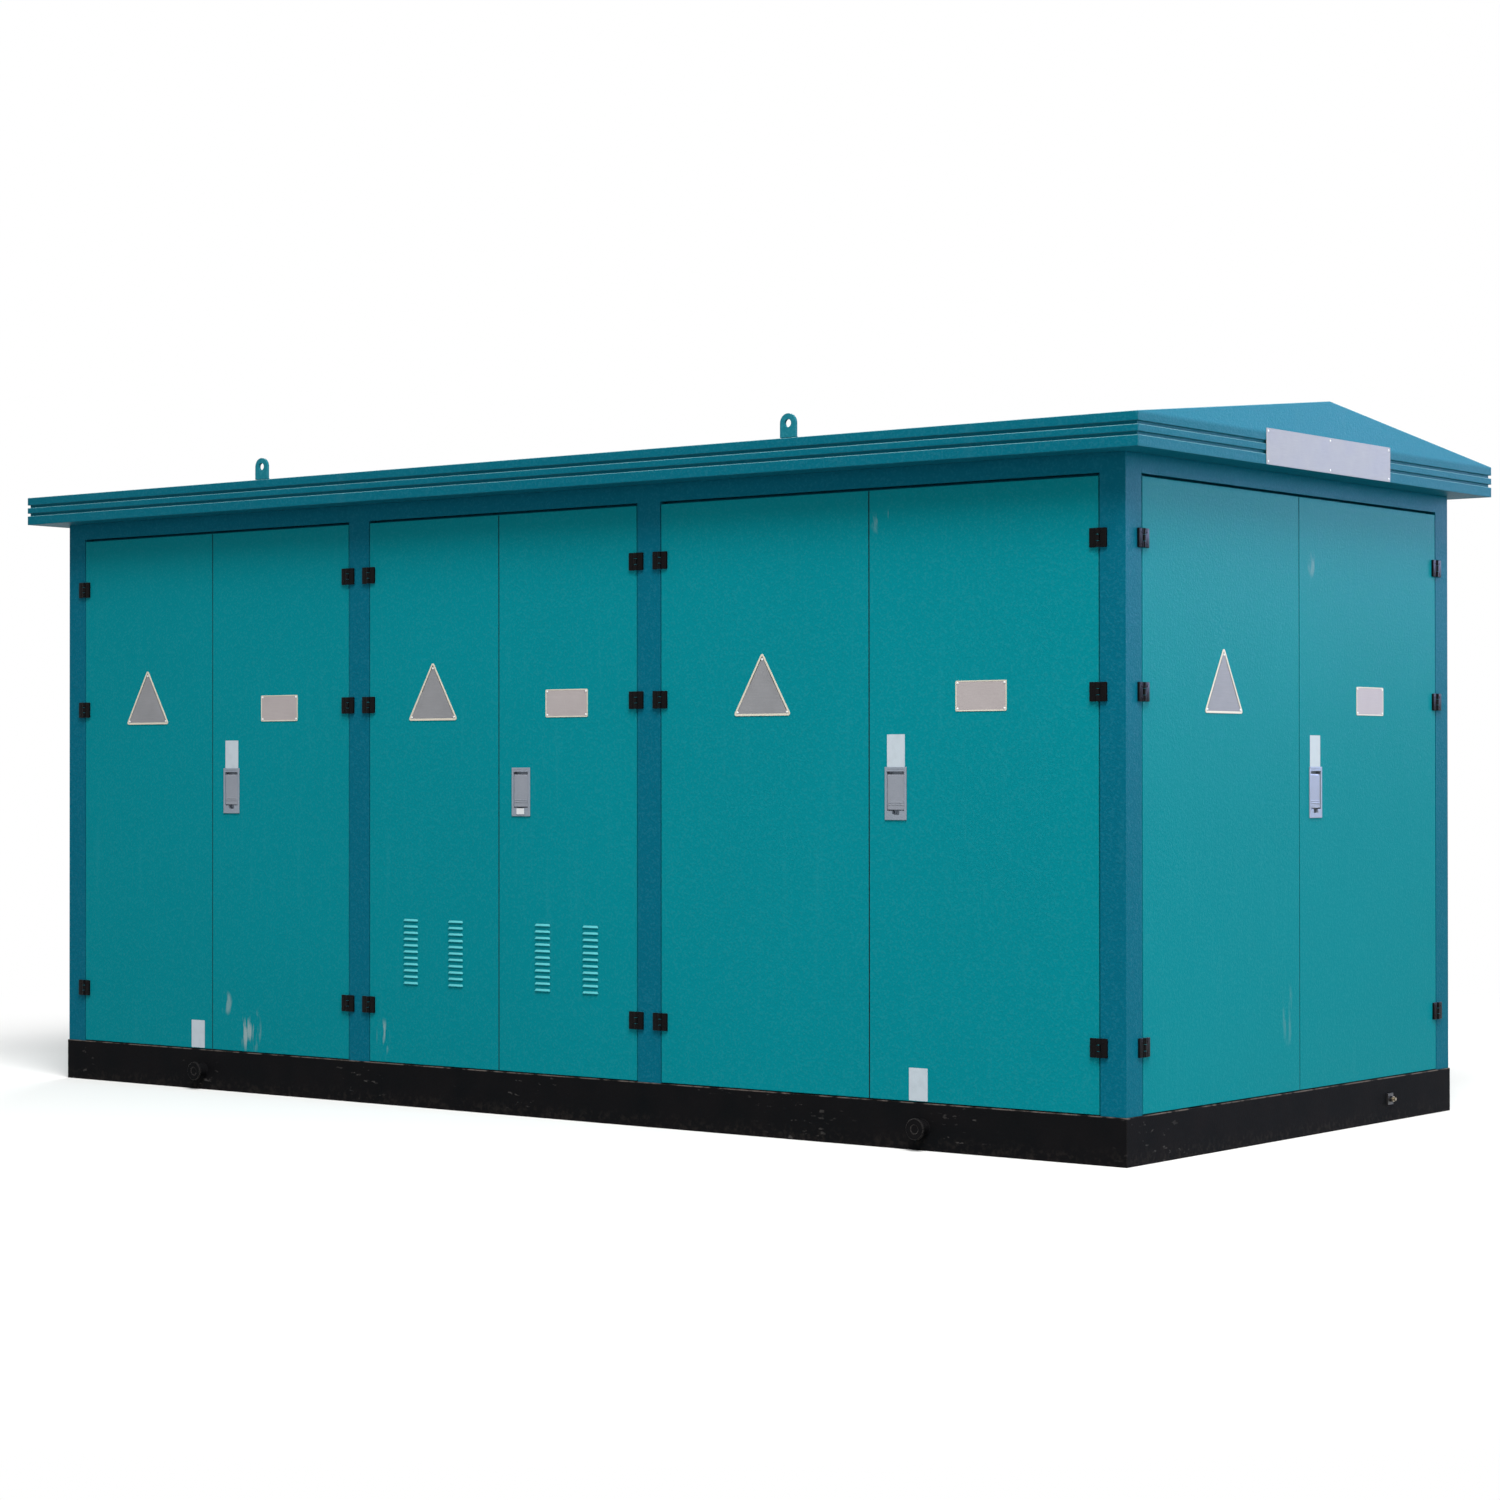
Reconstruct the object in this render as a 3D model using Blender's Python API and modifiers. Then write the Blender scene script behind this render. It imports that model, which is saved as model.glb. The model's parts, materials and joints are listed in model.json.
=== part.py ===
"""Prefabricated box substation: switchgear room, transformer room and low-voltage room.

Metres, +Z up.  The origin lies under the middle of the base, +X runs along the body to the
low-voltage end, and the front with its three pairs of doors faces -Y.

Each wall is drawn in the coordinates of somebody who stands outside and looks at it: u runs
to the right, d runs into the wall from its outer face, z runs up.
"""

import math

import bmesh
import bpy
from mathutils import Matrix, Vector

# ---- body ---------------------------------------------------------------------------------
LENGTH = 5.040
WIDTH = 2.240
CORNER_POST = 0.096
MIDDLE_POST = 0.104
HV_BAY = 1.511
TRANSFORMER_BAY = 1.322
SILL_GAP = 0.004
DOOR_HEIGHT = 2.023
HEADER_GAP = 0.010
HEADER_HEIGHT = 0.063
STOP_WIDTH = 0.018
SILL_HEIGHT = 0.026
FIT = 0.0003

# ---- base ---------------------------------------------------------------------------------
BASE_HEIGHT = 0.156
BASE_PROUD = 0.004
BASE_FLANGE = 0.130
BASE_WEB = 0.006
BASE_FLANGE_SHEET = 0.008
CROSS_MEMBER_WIDTH = 0.080
FLOOR_SHEET = 0.004
CABINET_LEDGE = 0.060
TRUNNION_FROM_LEFT = 0.800
TRUNNION_FROM_RIGHT = 0.780
TRUNNION_HEIGHT = 0.074
TRUNNION_STEM_RADIUS = 0.026
TRUNNION_DISC_RADIUS = 0.036
TRUNNION_REACH = 0.048
TRUNNION_DISC = 0.010
EARTH_PAD = 0.040
EARTH_PAD_SHEET = 0.006
EARTH_STUD_RADIUS = 0.006
EARTH_STUD_REACH = 0.026
EARTH_NUT_RADIUS = 0.011
EARTH_STUD_Y = 0.645
EARTH_STUD_HEIGHT = 0.080
EARTH_STUD_SIDES = 12

# ---- roof ---------------------------------------------------------------------------------
OVERHANG = 0.119
FASCIA = 0.110
RIDGE_RISE = 0.1355
ROOF_SHEET = 0.003
FASCIA_WALL = 0.014
SOFFIT_FLANGE = 0.190
GROOVE_DEPTH = 0.008
GROOVE_HEIGHT = 0.0115
GROOVE_BASES = (0.035, 0.0685)
EYE_FROM_END = 1.250
EYE_WIDTH = 0.066
EYE_SHEET = 0.010
EYE_HOLE_RADIUS = 0.014
EYE_HOLE_HEIGHT = 0.050
EYE_FROM_EDGE = 0.002
EYE_SIDES = 24
NAMEPLATE = (0.874, 0.120)
NAMEPLATE_SHEET = 0.003

# ---- leaves, hinges and locks -------------------------------------------------------------
LEAF_GAP = 0.005
LEAF_DEPTH = 0.038
LEAF_SHEET = 0.002
SEAL = 0.003
LOW_HINGE_ABOVE_FOOT = 0.212
HIGH_HINGES_BELOW_TOP = (0.684, 0.196)
HINGE_HEIGHT = 0.062
HINGE_PLATE_REACH = 0.0315
HINGE_PLATE = 0.005
KNUCKLE_RADIUS = 0.0065
KNUCKLE_OFF_FACE = 0.0005
KNUCKLE_TO_PLATE = 0.001
KNUCKLE_SHARE = 1 / 3
PIN_RADIUS = 0.0025
PIN_CLEARANCE = 0.0006
HINGE_SIDES = 8
SUNK = 0.001
LOUVRE_ROWS = 11
LOUVRE_PITCH = 0.0234
LOUVRES_ABOVE_FOOT = 0.546
LOUVRE_WIDTH = 0.068
LOUVRE_SLOT = 0.008
LOUVRE_SPREAD = 0.114
LOCK_FROM_EDGE = 0.108
LOCK_ABOVE_FOOT = 1.014
LOCK_SIZE = (0.088, 0.176)
LOCK_FLANGE = 0.008
LOCK_PROUD = 0.004
LOCK_TRAY_DEPTH = 0.024
LOCK_RECESS_WIDTH = 0.071
LOCK_RECESS_DEPTH = 0.016
LOCK_RECESS_TOP = 0.073
LOCK_FOOT_TOP = -0.0545
FINGER_NOTCH = (0.031, 0.013)
LEVER_CLEARANCE = 0.0005
LEVER_SHEET = 0.005
LEVER_PIVOT_HEIGHT = 0.060
LEVER_PIVOT_DEPTH = 0.004
LEVER_BARREL_RADIUS = 0.0045
LEVER_SIDES = 12

# ---- walls inside -------------------------------------------------------------------------
PARTITION_SHEET = 0.004
PASSAGE = (0.50, 0.16)
HV_PASSAGE_CENTRE = (0.30, 1.62)
LV_PASSAGE_CENTRE = (0.00, 1.72)

# ---- transformer --------------------------------------------------------------------------
OIL_ROUND_WINDINGS = (0.136, 0.0765)
OIL_ABOVE_CORE = 0.264
TANK_SHEET = 0.006
TANK_FOOT_HEIGHT = 0.070
TANK_FOOT = (0.52, 0.08)
TANK_FOOT_SPREAD = 0.33
RAIL_SPREAD = 0.20
FIN_SHEET = 0.010
FIN_REACH = 0.135
FIN_HEIGHT = 0.72
FIN_PITCH = 0.068
SIDE_FINS = 14
END_FINS = 7
COVER_OVERHANG = 0.030
COVER_SHEET = 0.010
LIMB = 0.120
CORE_HEIGHT = 0.66
YOKE = 0.120
WINDING_OFF_LIMB = 0.005
WINDING_BUILD = 0.048
WINDING_END_GAP = 0.012
PHASE_GAP = 0.014
WINDING_SIDES = 16
BUSHING_PITCH = 0.26
BUSHING_OFFSET = 0.150
BUSHING_HEIGHT = 0.290
BUSHING_RADIUS = 0.032
SHED_RADIUS = 0.058
SHEDS = 3
SHED_EDGE_DROP = 0.55
SHED_UNDERSIDE_DROP = 0.75
BUSHING_FOOT_SHARE = 0.9
BUSHING_STEPS = 12
LV_BLOCK = (0.110, 0.560, 0.070)
LV_PALM = (0.012, 0.060, 0.120)
LV_PALM_PITCH = 0.130
LV_PALMS = 4

# ---- switchgear ---------------------------------------------------------------------------
RING_MAIN_UNIT = (1.00, 0.74, 1.62)
RING_MAIN_FRONT = -0.46
RING_MAIN_FROM_END = 0.40
SWITCHBOARD_DEPTH = 0.52
SWITCHBOARD_HEIGHT = 1.90
SWITCHBOARD_FRONT = -0.36
SWITCHBOARD_FROM_END = 0.38
SWITCHBOARD_FROM_PARTITION = 0.215
CABINET_SHEET = 0.003
CABINET_DOOR_PROUD = 0.006
CABINET_DOOR_MARGIN = 0.020
CABINET_PLINTH = 0.100
SELECTOR_HUB_RADIUS = 0.034
SELECTOR_HUB = 0.030
SELECTOR_LEVER = (0.028, 0.016, 0.180)
SELECTOR_BOSS_RADIUS = 0.050
SELECTOR_BOSS = 0.012
SELECTOR_HEIGHT = 1.28
BREAKER = (0.30, 0.10, 0.42)
BREAKER_HEIGHT = 1.30
BREAKER_LEVER = (0.044, 0.110, 0.018)
BREAKER_BARREL_RADIUS = 0.011
BREAKER_LEVER_GAP = 0.004
ROUND_SIDES = 16

# ---- derived ------------------------------------------------------------------------------
DOOR_FOOT = BASE_HEIGHT + SILL_GAP
DOOR_TOP = DOOR_FOOT + DOOR_HEIGHT
HEADER_BOTTOM = DOOR_TOP + HEADER_GAP
EAVES = HEADER_BOTTOM + HEADER_HEIGHT
LOCK_HEIGHT = DOOR_FOOT + LOCK_ABOVE_FOOT
LOUVRE_TOP = DOOR_FOOT + LOUVRES_ABOVE_FOOT
HINGE_HEIGHTS = (DOOR_FOOT + LOW_HINGE_ABOVE_FOOT,
                 *[DOOR_TOP - drop for drop in HIGH_HINGES_BELOW_TOP])
KNUCKLE_PROUD = KNUCKLE_RADIUS + KNUCKLE_OFF_FACE
HINGE_PLATE_CLEARANCE = KNUCKLE_RADIUS + KNUCKLE_TO_PLATE
STOP_DEPTH = LEAF_DEPTH + SEAL
BASE_TOP = BASE_HEIGHT + FIT
FASCIA_TOP = EAVES + FASCIA
HALF_LENGTH = LENGTH / 2
HALF_WIDTH = WIDTH / 2
HV_LEFT = -HALF_LENGTH + CORNER_POST
HV_RIGHT = HV_LEFT + HV_BAY
TRANSFORMER_LEFT = HV_RIGHT + MIDDLE_POST
TRANSFORMER_RIGHT = TRANSFORMER_LEFT + TRANSFORMER_BAY
LV_LEFT = TRANSFORMER_RIGHT + MIDDLE_POST
LV_RIGHT = HALF_LENGTH - CORNER_POST
HV_PARTITION_X = HV_RIGHT + MIDDLE_POST / 2
LV_PARTITION_X = TRANSFORMER_RIGHT + MIDDLE_POST / 2
TRANSFORMER_X = (TRANSFORMER_LEFT + TRANSFORMER_RIGHT) / 2
RING_MAIN_X = -HALF_LENGTH + RING_MAIN_FROM_END + RING_MAIN_UNIT[0] / 2
SWITCHBOARD_LEFT = LV_PARTITION_X + SWITCHBOARD_FROM_PARTITION
SWITCHBOARD_RIGHT = HALF_LENGTH - SWITCHBOARD_FROM_END
SWITCHBOARD_X = (SWITCHBOARD_LEFT + SWITCHBOARD_RIGHT) / 2
SWITCHBOARD = (SWITCHBOARD_RIGHT - SWITCHBOARD_LEFT, SWITCHBOARD_DEPTH, SWITCHBOARD_HEIGHT)
INNER_HALF_WIDTH = HALF_WIDTH - CORNER_POST - FIT
INNER_HALF_LENGTH = HALF_LENGTH - CORNER_POST - FIT
WINDING_INSIDE = LIMB / math.sqrt(2) + WINDING_OFF_LIMB
WINDING_OUTSIDE = WINDING_INSIDE + WINDING_BUILD
LIMB_PITCH = 2 * WINDING_OUTSIDE + PHASE_GAP
TANK = (2 * (WINDING_OUTSIDE + OIL_ROUND_WINDINGS[0] + TANK_SHEET),
        2 * (LIMB_PITCH + WINDING_OUTSIDE + OIL_ROUND_WINDINGS[1] + TANK_SHEET),
        TANK_SHEET + CORE_HEIGHT + OIL_ABOVE_CORE)
PAST = 0.05

HV_BAY_SPAN = (HV_LEFT, HV_RIGHT)
TRANSFORMER_BAY_SPAN = (TRANSFORMER_LEFT, TRANSFORMER_RIGHT)
LV_BAY_SPAN = (LV_LEFT, LV_RIGHT)
END_BAY_SPAN = (-HALF_WIDTH + CORNER_POST, HALF_WIDTH - CORNER_POST)

FRONT = Matrix.Translation((0, -HALF_WIDTH, 0))
RIGHT = Matrix.Rotation(math.radians(90), 4, "Z") @ Matrix.Translation((0, -HALF_LENGTH, 0))
REAR = Matrix.Rotation(math.radians(180), 4, "Z") @ Matrix.Translation((0, -HALF_WIDTH, 0))
LEFT = Matrix.Rotation(math.radians(270), 4, "Z") @ Matrix.Translation((0, -HALF_LENGTH, 0))
WORLD = Matrix.Identity(4)


def mirrored(span):
    """A bay of the front as the rear wall's own u sees it."""
    return (-span[1], -span[0])


# ---- scene, materials and shared tools ----------------------------------------------------
def clear_scene():
    for obj in list(bpy.data.objects):
        bpy.data.objects.remove(obj, do_unlink=True)


def collection(name):
    made = bpy.data.collections.new(name)
    bpy.context.scene.collection.children.link(made)
    return made


def finish(name, colour, roughness, metallic):
    material = bpy.data.materials.new(name)
    material.use_nodes = True
    shader = material.node_tree.nodes["Principled BSDF"]
    shader.inputs["Base Color"].default_value = (*colour, 1)
    shader.inputs["Roughness"].default_value = roughness
    shader.inputs["Metallic"].default_value = metallic
    return material


def link(name, bm, matrix, home):
    mesh = bpy.data.meshes.new(name)
    bmesh.ops.recalc_face_normals(bm, faces=bm.faces)
    bm.to_mesh(mesh)
    bm.free()
    obj = bpy.data.objects.new(name, mesh)
    obj.matrix_world = matrix
    home.objects.link(obj)
    return obj


def part(name, bm, matrix, material, pivot=(0, 0, 0)):
    """A named sub-part.  Its mesh is drawn in the wall's coordinates, its origin is at pivot."""
    bmesh.ops.translate(bm, verts=bm.verts, vec=-Vector(pivot))
    obj = link(name, bm, matrix @ Matrix.Translation(pivot), PARTS)
    obj.data.materials.append(material)
    return obj


def boolean(obj, bm, matrix, operation):
    tool = link(f"{obj.name}_{operation.lower()}_{len(obj.modifiers)}", bm, matrix, TOOLS)
    tool.hide_render = True
    tool.display_type = "WIRE"
    modifier = obj.modifiers.new(tool.name, "BOOLEAN")
    modifier.operation = operation
    modifier.solver = "EXACT"
    modifier.object = tool


def cut(obj, bm, matrix=WORLD):
    boolean(obj, bm, matrix, "DIFFERENCE")


def join(obj, bm, matrix=WORLD):
    boolean(obj, bm, matrix, "UNION")


def boxes(*corners):
    """A mesh of separate boxes, each given as (x0, x1, y0, y1, z0, z1)."""
    bm = bmesh.new()
    for x0, x1, y0, y1, z0, z1 in corners:
        size = Matrix.Diagonal((x1 - x0, y1 - y0, z1 - z0, 1))
        middle = Matrix.Translation(((x0 + x1) / 2, (y0 + y1) / 2, (z0 + z1) / 2))
        bmesh.ops.create_cube(bm, size=1, matrix=middle @ size)
    return bm


def centred_box(centre, size):
    return tuple(c + sign * s / 2 for c, s in zip(centre, size) for sign in (-1, 1))


def rods(axis, sides, *rods_wanted):
    """A mesh of separate round bars along axis, each given as (centre, radius, length)."""
    bm = bmesh.new()
    turn = Vector((0, 0, 1)).rotation_difference(Vector(axis)).to_matrix().to_4x4()
    flat_outside = Matrix.Rotation(math.pi / sides, 4, "Z")
    for centre, radius, length in rods_wanted:
        bmesh.ops.create_cone(
            bm, cap_ends=True, segments=sides, radius1=radius, radius2=radius, depth=length,
            matrix=Matrix.Translation(centre) @ turn @ flat_outside)
    return bm


# ---- base and floors ----------------------------------------------------------------------
def cross_member_positions():
    rails = (TRANSFORMER_X - RAIL_SPREAD, TRANSFORMER_X + RAIL_SPREAD)
    return (HV_PARTITION_X, *rails, LV_PARTITION_X)


def build_base_frame():
    half_x, half_y = HALF_LENGTH + BASE_PROUD, HALF_WIDTH + BASE_PROUD
    base = part("base_frame", boxes((-half_x, half_x, -half_y, half_y, 0, BASE_HEIGHT)),
                WORLD, BLACK)
    inner_x, inner_y = half_x - BASE_FLANGE, half_y - BASE_FLANGE
    members = cross_member_positions()
    starts = [-inner_x] + [x + CROSS_MEMBER_WIDTH / 2 for x in members]
    ends = [x - CROSS_MEMBER_WIDTH / 2 for x in members] + [inner_x]
    cut(base, boxes(*[(x0, x1, -inner_y, inner_y, -PAST, BASE_HEIGHT + PAST)
                      for x0, x1 in zip(starts, ends)]))
    web_x, web_y = half_x - BASE_WEB, half_y - BASE_WEB
    cut(base, boxes((-web_x, web_x, -web_y, web_y,
                     BASE_FLANGE_SHEET, BASE_HEIGHT - BASE_FLANGE_SHEET)))
    inside = BASE_WEB / 2
    join(base, boxes(*[(x - inside, x + inside, -web_y - inside, web_y + inside,
                        BASE_FLANGE_SHEET / 2, BASE_HEIGHT - BASE_FLANGE_SHEET / 2)
                       for x in members]))


def build_floor(name, x0, x1, cabinet):
    """Chequer-plate floor with a cable entry under the cabinet that stands on it."""
    top = BASE_TOP + FLOOR_SHEET
    floor = part(name, boxes((x0, x1, -INNER_HALF_WIDTH, INNER_HALF_WIDTH, BASE_TOP, top)),
                 WORLD, CHEQUER)
    x, front, size = cabinet
    middle = (x, front + size[1] / 2, top)
    entry = (size[0] - 2 * CABINET_LEDGE, size[1] - 2 * CABINET_LEDGE, 4 * FLOOR_SHEET)
    cut(floor, boxes(centred_box(middle, entry)))


def build_floors():
    beside = PARTITION_SHEET / 2 + FIT
    build_floor("hv_floor", -INNER_HALF_LENGTH, HV_PARTITION_X - beside,
                (RING_MAIN_X, RING_MAIN_FRONT, RING_MAIN_UNIT))
    build_floor("lv_floor", LV_PARTITION_X + beside, INNER_HALF_LENGTH,
                (SWITCHBOARD_X, SWITCHBOARD_FRONT, SWITCHBOARD))


def build_trunnion(name, wall, u):
    face = -BASE_PROUD - FIT
    stem = TRUNNION_REACH - TRUNNION_DISC / 2
    trunnion = part(
        name, rods((0, 1, 0), ROUND_SIDES,
                   ((u, face - stem / 2, TRUNNION_HEIGHT), TRUNNION_STEM_RADIUS, stem)),
        wall, BLACK, pivot=(u, face, TRUNNION_HEIGHT))
    disc_middle = face - TRUNNION_REACH + TRUNNION_DISC / 2
    join(trunnion, rods((0, 1, 0), ROUND_SIDES,
                        ((u, disc_middle, TRUNNION_HEIGHT), TRUNNION_DISC_RADIUS,
                         TRUNNION_DISC)), wall)


def build_trunnions():
    left, right = -HALF_LENGTH + TRUNNION_FROM_LEFT, HALF_LENGTH - TRUNNION_FROM_RIGHT
    build_trunnion("front_left_trunnion", FRONT, left)
    build_trunnion("front_right_trunnion", FRONT, right)
    build_trunnion("rear_right_trunnion", REAR, -right)
    build_trunnion("rear_left_trunnion", REAR, -left)


def build_earth_stud():
    face = -BASE_PROUD - FIT
    at = (EARTH_STUD_Y, face, EARTH_STUD_HEIGHT)
    pad = centred_box((at[0], face - EARTH_PAD_SHEET / 2, at[2]),
                      (EARTH_PAD, EARTH_PAD_SHEET, EARTH_PAD))
    stud = part("earth_stud", boxes(pad), RIGHT, STEEL, pivot=at)
    bolt = EARTH_STUD_REACH - EARTH_PAD_SHEET / 2
    join(stud, rods((0, 1, 0), EARTH_STUD_SIDES, ((at[0], face - EARTH_STUD_REACH + bolt / 2, at[2]),
                                                  EARTH_STUD_RADIUS, bolt)), RIGHT)
    nut = EARTH_PAD_SHEET * 2
    join(stud, rods((0, 1, 0), 6, ((at[0], face - nut, at[2]), EARTH_NUT_RADIUS, nut)), RIGHT)


# ---- hinges -------------------------------------------------------------------------------
def knuckle_spans():
    """The lowest and highest point of the lower, middle and upper knuckle, from mid-height."""
    middle = HINGE_HEIGHT * KNUCKLE_SHARE / 2
    half = HINGE_HEIGHT / 2
    return (-half, -middle - FIT), (-middle, middle), (middle + FIT, half)


def hinge_plates(axis_u, side):
    """Three plates beside the axis: side is +1 to its right and -1 to its left."""
    near, far = sorted((axis_u + side * HINGE_PLATE_CLEARANCE, axis_u + side * HINGE_PLATE_REACH))
    half = HINGE_HEIGHT / 2
    return boxes(*[(near, far, -HINGE_PLATE, SUNK, z - half, z + half) for z in HINGE_HEIGHTS])


def hinge_webs(axis_u, side, spans):
    near, far = sorted((axis_u, axis_u + side * (HINGE_PLATE_CLEARANCE + SUNK)))
    return boxes(*[(near, far, -HINGE_PLATE + SUNK / 2, -KNUCKLE_PROUD + KNUCKLE_RADIUS - SUNK,
                    z + low, z + high) for z in HINGE_HEIGHTS for low, high in spans])


def hinge_knuckles(axis_u, spans, radius, past=0.0):
    return rods((0, 0, 1), HINGE_SIDES,
                *[((axis_u, -KNUCKLE_PROUD, z + (low + high) / 2), radius,
                   high - low + 2 * past)
                  for z in HINGE_HEIGHTS for low, high in spans])


def add_fixed_hinge_halves(frame, wall, axis_u, side):
    """Plates, outer knuckles and pins on the post; side points from the axis to the post."""
    lower, middle, upper = knuckle_spans()
    inset = SUNK / 4
    trimmed = [(lower[0] + inset, lower[1] - inset), (upper[0] + inset, upper[1] - inset)]
    join(frame, hinge_plates(axis_u, side), wall)
    join(frame, hinge_webs(axis_u, side, trimmed), wall)
    join(frame, hinge_knuckles(axis_u, (lower, upper), KNUCKLE_RADIUS), wall)
    join(frame, hinge_knuckles(axis_u, ((lower[0] + SUNK, upper[1] - SUNK),), PIN_RADIUS), wall)


def add_moving_hinge_halves(leaf, wall, axis_u, side):
    """Plates and bored middle knuckles on the leaf; side points from the axis to the leaf."""
    middle = knuckle_spans()[1]
    inset = SUNK / 4
    join(leaf, hinge_plates(axis_u, side), wall)
    join(leaf, hinge_webs(axis_u, side, [(middle[0] + inset, middle[1] - inset)]), wall)
    join(leaf, hinge_knuckles(axis_u, (middle,), KNUCKLE_RADIUS), wall)
    cut(leaf, hinge_knuckles(axis_u, (middle,), PIN_RADIUS + PIN_CLEARANCE, past=SUNK), wall)


# ---- body frames --------------------------------------------------------------------------
def build_wall_frame(name, wall, outer, bays, cut_whole_front=False):
    """Posts, header, sill and door stops of one wall, cut from a slab one post deep."""
    u0, u1 = outer
    frame = part(name, boxes((u0, u1, 0, CORNER_POST, BASE_TOP, EAVES - FIT)), wall, FRAME_PAINT)
    reach = PAST if cut_whole_front else 0
    cut(frame, boxes(*[(a - reach, b + reach, -PAST, STOP_DEPTH, 0, HEADER_BOTTOM)
                       for a, b in bays]), wall)
    cut(frame, boxes(*[(a + STOP_WIDTH, b - STOP_WIDTH, 0, CORNER_POST + PAST,
                        BASE_TOP + SILL_HEIGHT, HEADER_BOTTOM - STOP_WIDTH)
                       for a, b in bays]), wall)
    return frame


def hinge_axes(bay):
    """u of the left and of the right hinge axis of a pair of leaves in this bay."""
    return bay[0] + LEAF_GAP / 2, bay[1] - LEAF_GAP / 2


def build_long_frames():
    whole = (-HALF_LENGTH, HALF_LENGTH)
    front_bays = (HV_BAY_SPAN, TRANSFORMER_BAY_SPAN, LV_BAY_SPAN)
    front = build_wall_frame("front_frame", FRONT, whole, front_bays)
    rear = build_wall_frame("rear_frame", REAR, whole, [mirrored(bay) for bay in front_bays])
    for bay in front_bays:
        left_axis, right_axis = hinge_axes(bay)
        add_fixed_hinge_halves(front, FRONT, left_axis, -1)
        add_fixed_hinge_halves(front, FRONT, right_axis, 1)
    left_axis, right_axis = hinge_axes(mirrored(TRANSFORMER_BAY_SPAN))
    add_fixed_hinge_halves(rear, REAR, left_axis, -1)
    add_fixed_hinge_halves(rear, REAR, right_axis, 1)
    left_axis, right_axis = hinge_axes(END_BAY_SPAN)
    add_fixed_hinge_halves(front, RIGHT, left_axis, -1)
    add_fixed_hinge_halves(rear, RIGHT, right_axis, 1)
    add_fixed_hinge_halves(rear, LEFT, left_axis, -1)
    add_fixed_hinge_halves(front, LEFT, right_axis, 1)


def build_end_frames():
    inner = (END_BAY_SPAN[0] + FIT, END_BAY_SPAN[1] - FIT)
    build_wall_frame("right_end_frame", RIGHT, inner, [END_BAY_SPAN], cut_whole_front=True)
    build_wall_frame("left_end_frame", LEFT, inner, [END_BAY_SPAN], cut_whole_front=True)


def build_rear_panel(name, bay):
    """Fixed folded panel that fills a rear bay and rests against the stops."""
    u0, u1 = bay[0] + FIT, bay[1] - FIT
    depth = STOP_DEPTH - FIT
    panel = part(name, boxes((u0, u1, 0, depth, DOOR_FOOT, DOOR_TOP)), REAR, DOOR_PAINT)
    cut(panel, boxes((u0 + LEAF_SHEET, u1 - LEAF_SHEET, LEAF_SHEET, depth + PAST,
                      DOOR_FOOT + LEAF_SHEET, DOOR_TOP - LEAF_SHEET)), REAR)


def build_partition(name, x, passage_centre):
    half = PARTITION_SHEET / 2
    wall = part(name, boxes((x - half, x + half, -INNER_HALF_WIDTH, INNER_HALF_WIDTH,
                             BASE_TOP, EAVES - FIT)), WORLD, GALVANISED)
    y, z = passage_centre
    cut(wall, boxes(centred_box((x, y, z), (4 * PARTITION_SHEET, *PASSAGE))))


# ---- leaves -------------------------------------------------------------------------------
def build_leaf(name, wall, bay, hand):
    """One folded-sheet door leaf.  hand is -1 for the left leaf of a pair, +1 for the right."""
    left_axis, right_axis = hinge_axes(bay)
    seam = (bay[0] + bay[1]) / 2
    if hand < 0:
        axis_u, u0, u1 = left_axis, bay[0] + LEAF_GAP, seam - LEAF_GAP / 2
    else:
        axis_u, u0, u1 = right_axis, seam + LEAF_GAP / 2, bay[1] - LEAF_GAP
    leaf = part(name, boxes((u0, u1, 0, LEAF_DEPTH, DOOR_FOOT, DOOR_TOP)), wall, DOOR_PAINT,
                pivot=(axis_u, -KNUCKLE_PROUD, DOOR_FOOT))
    cut(leaf, boxes((u0 + LEAF_SHEET, u1 - LEAF_SHEET, LEAF_SHEET, LEAF_DEPTH + PAST,
                     DOOR_FOOT + LEAF_SHEET, DOOR_TOP - LEAF_SHEET)), wall)
    add_moving_hinge_halves(leaf, wall, axis_u, -hand)
    return leaf, (u0, u1)


def cut_louvres(leaf, wall, edges):
    middle = (edges[0] + edges[1]) / 2
    columns = (middle - LOUVRE_SPREAD, middle + LOUVRE_SPREAD)
    rows = [LOUVRE_TOP - LOUVRE_PITCH * (row + 0.5) for row in range(LOUVRE_ROWS)]
    size = (LOUVRE_WIDTH, 6 * LEAF_SHEET, LOUVRE_SLOT)
    cut(leaf, boxes(*[centred_box((u, 0, z), size) for u in columns for z in rows]), wall)


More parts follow.
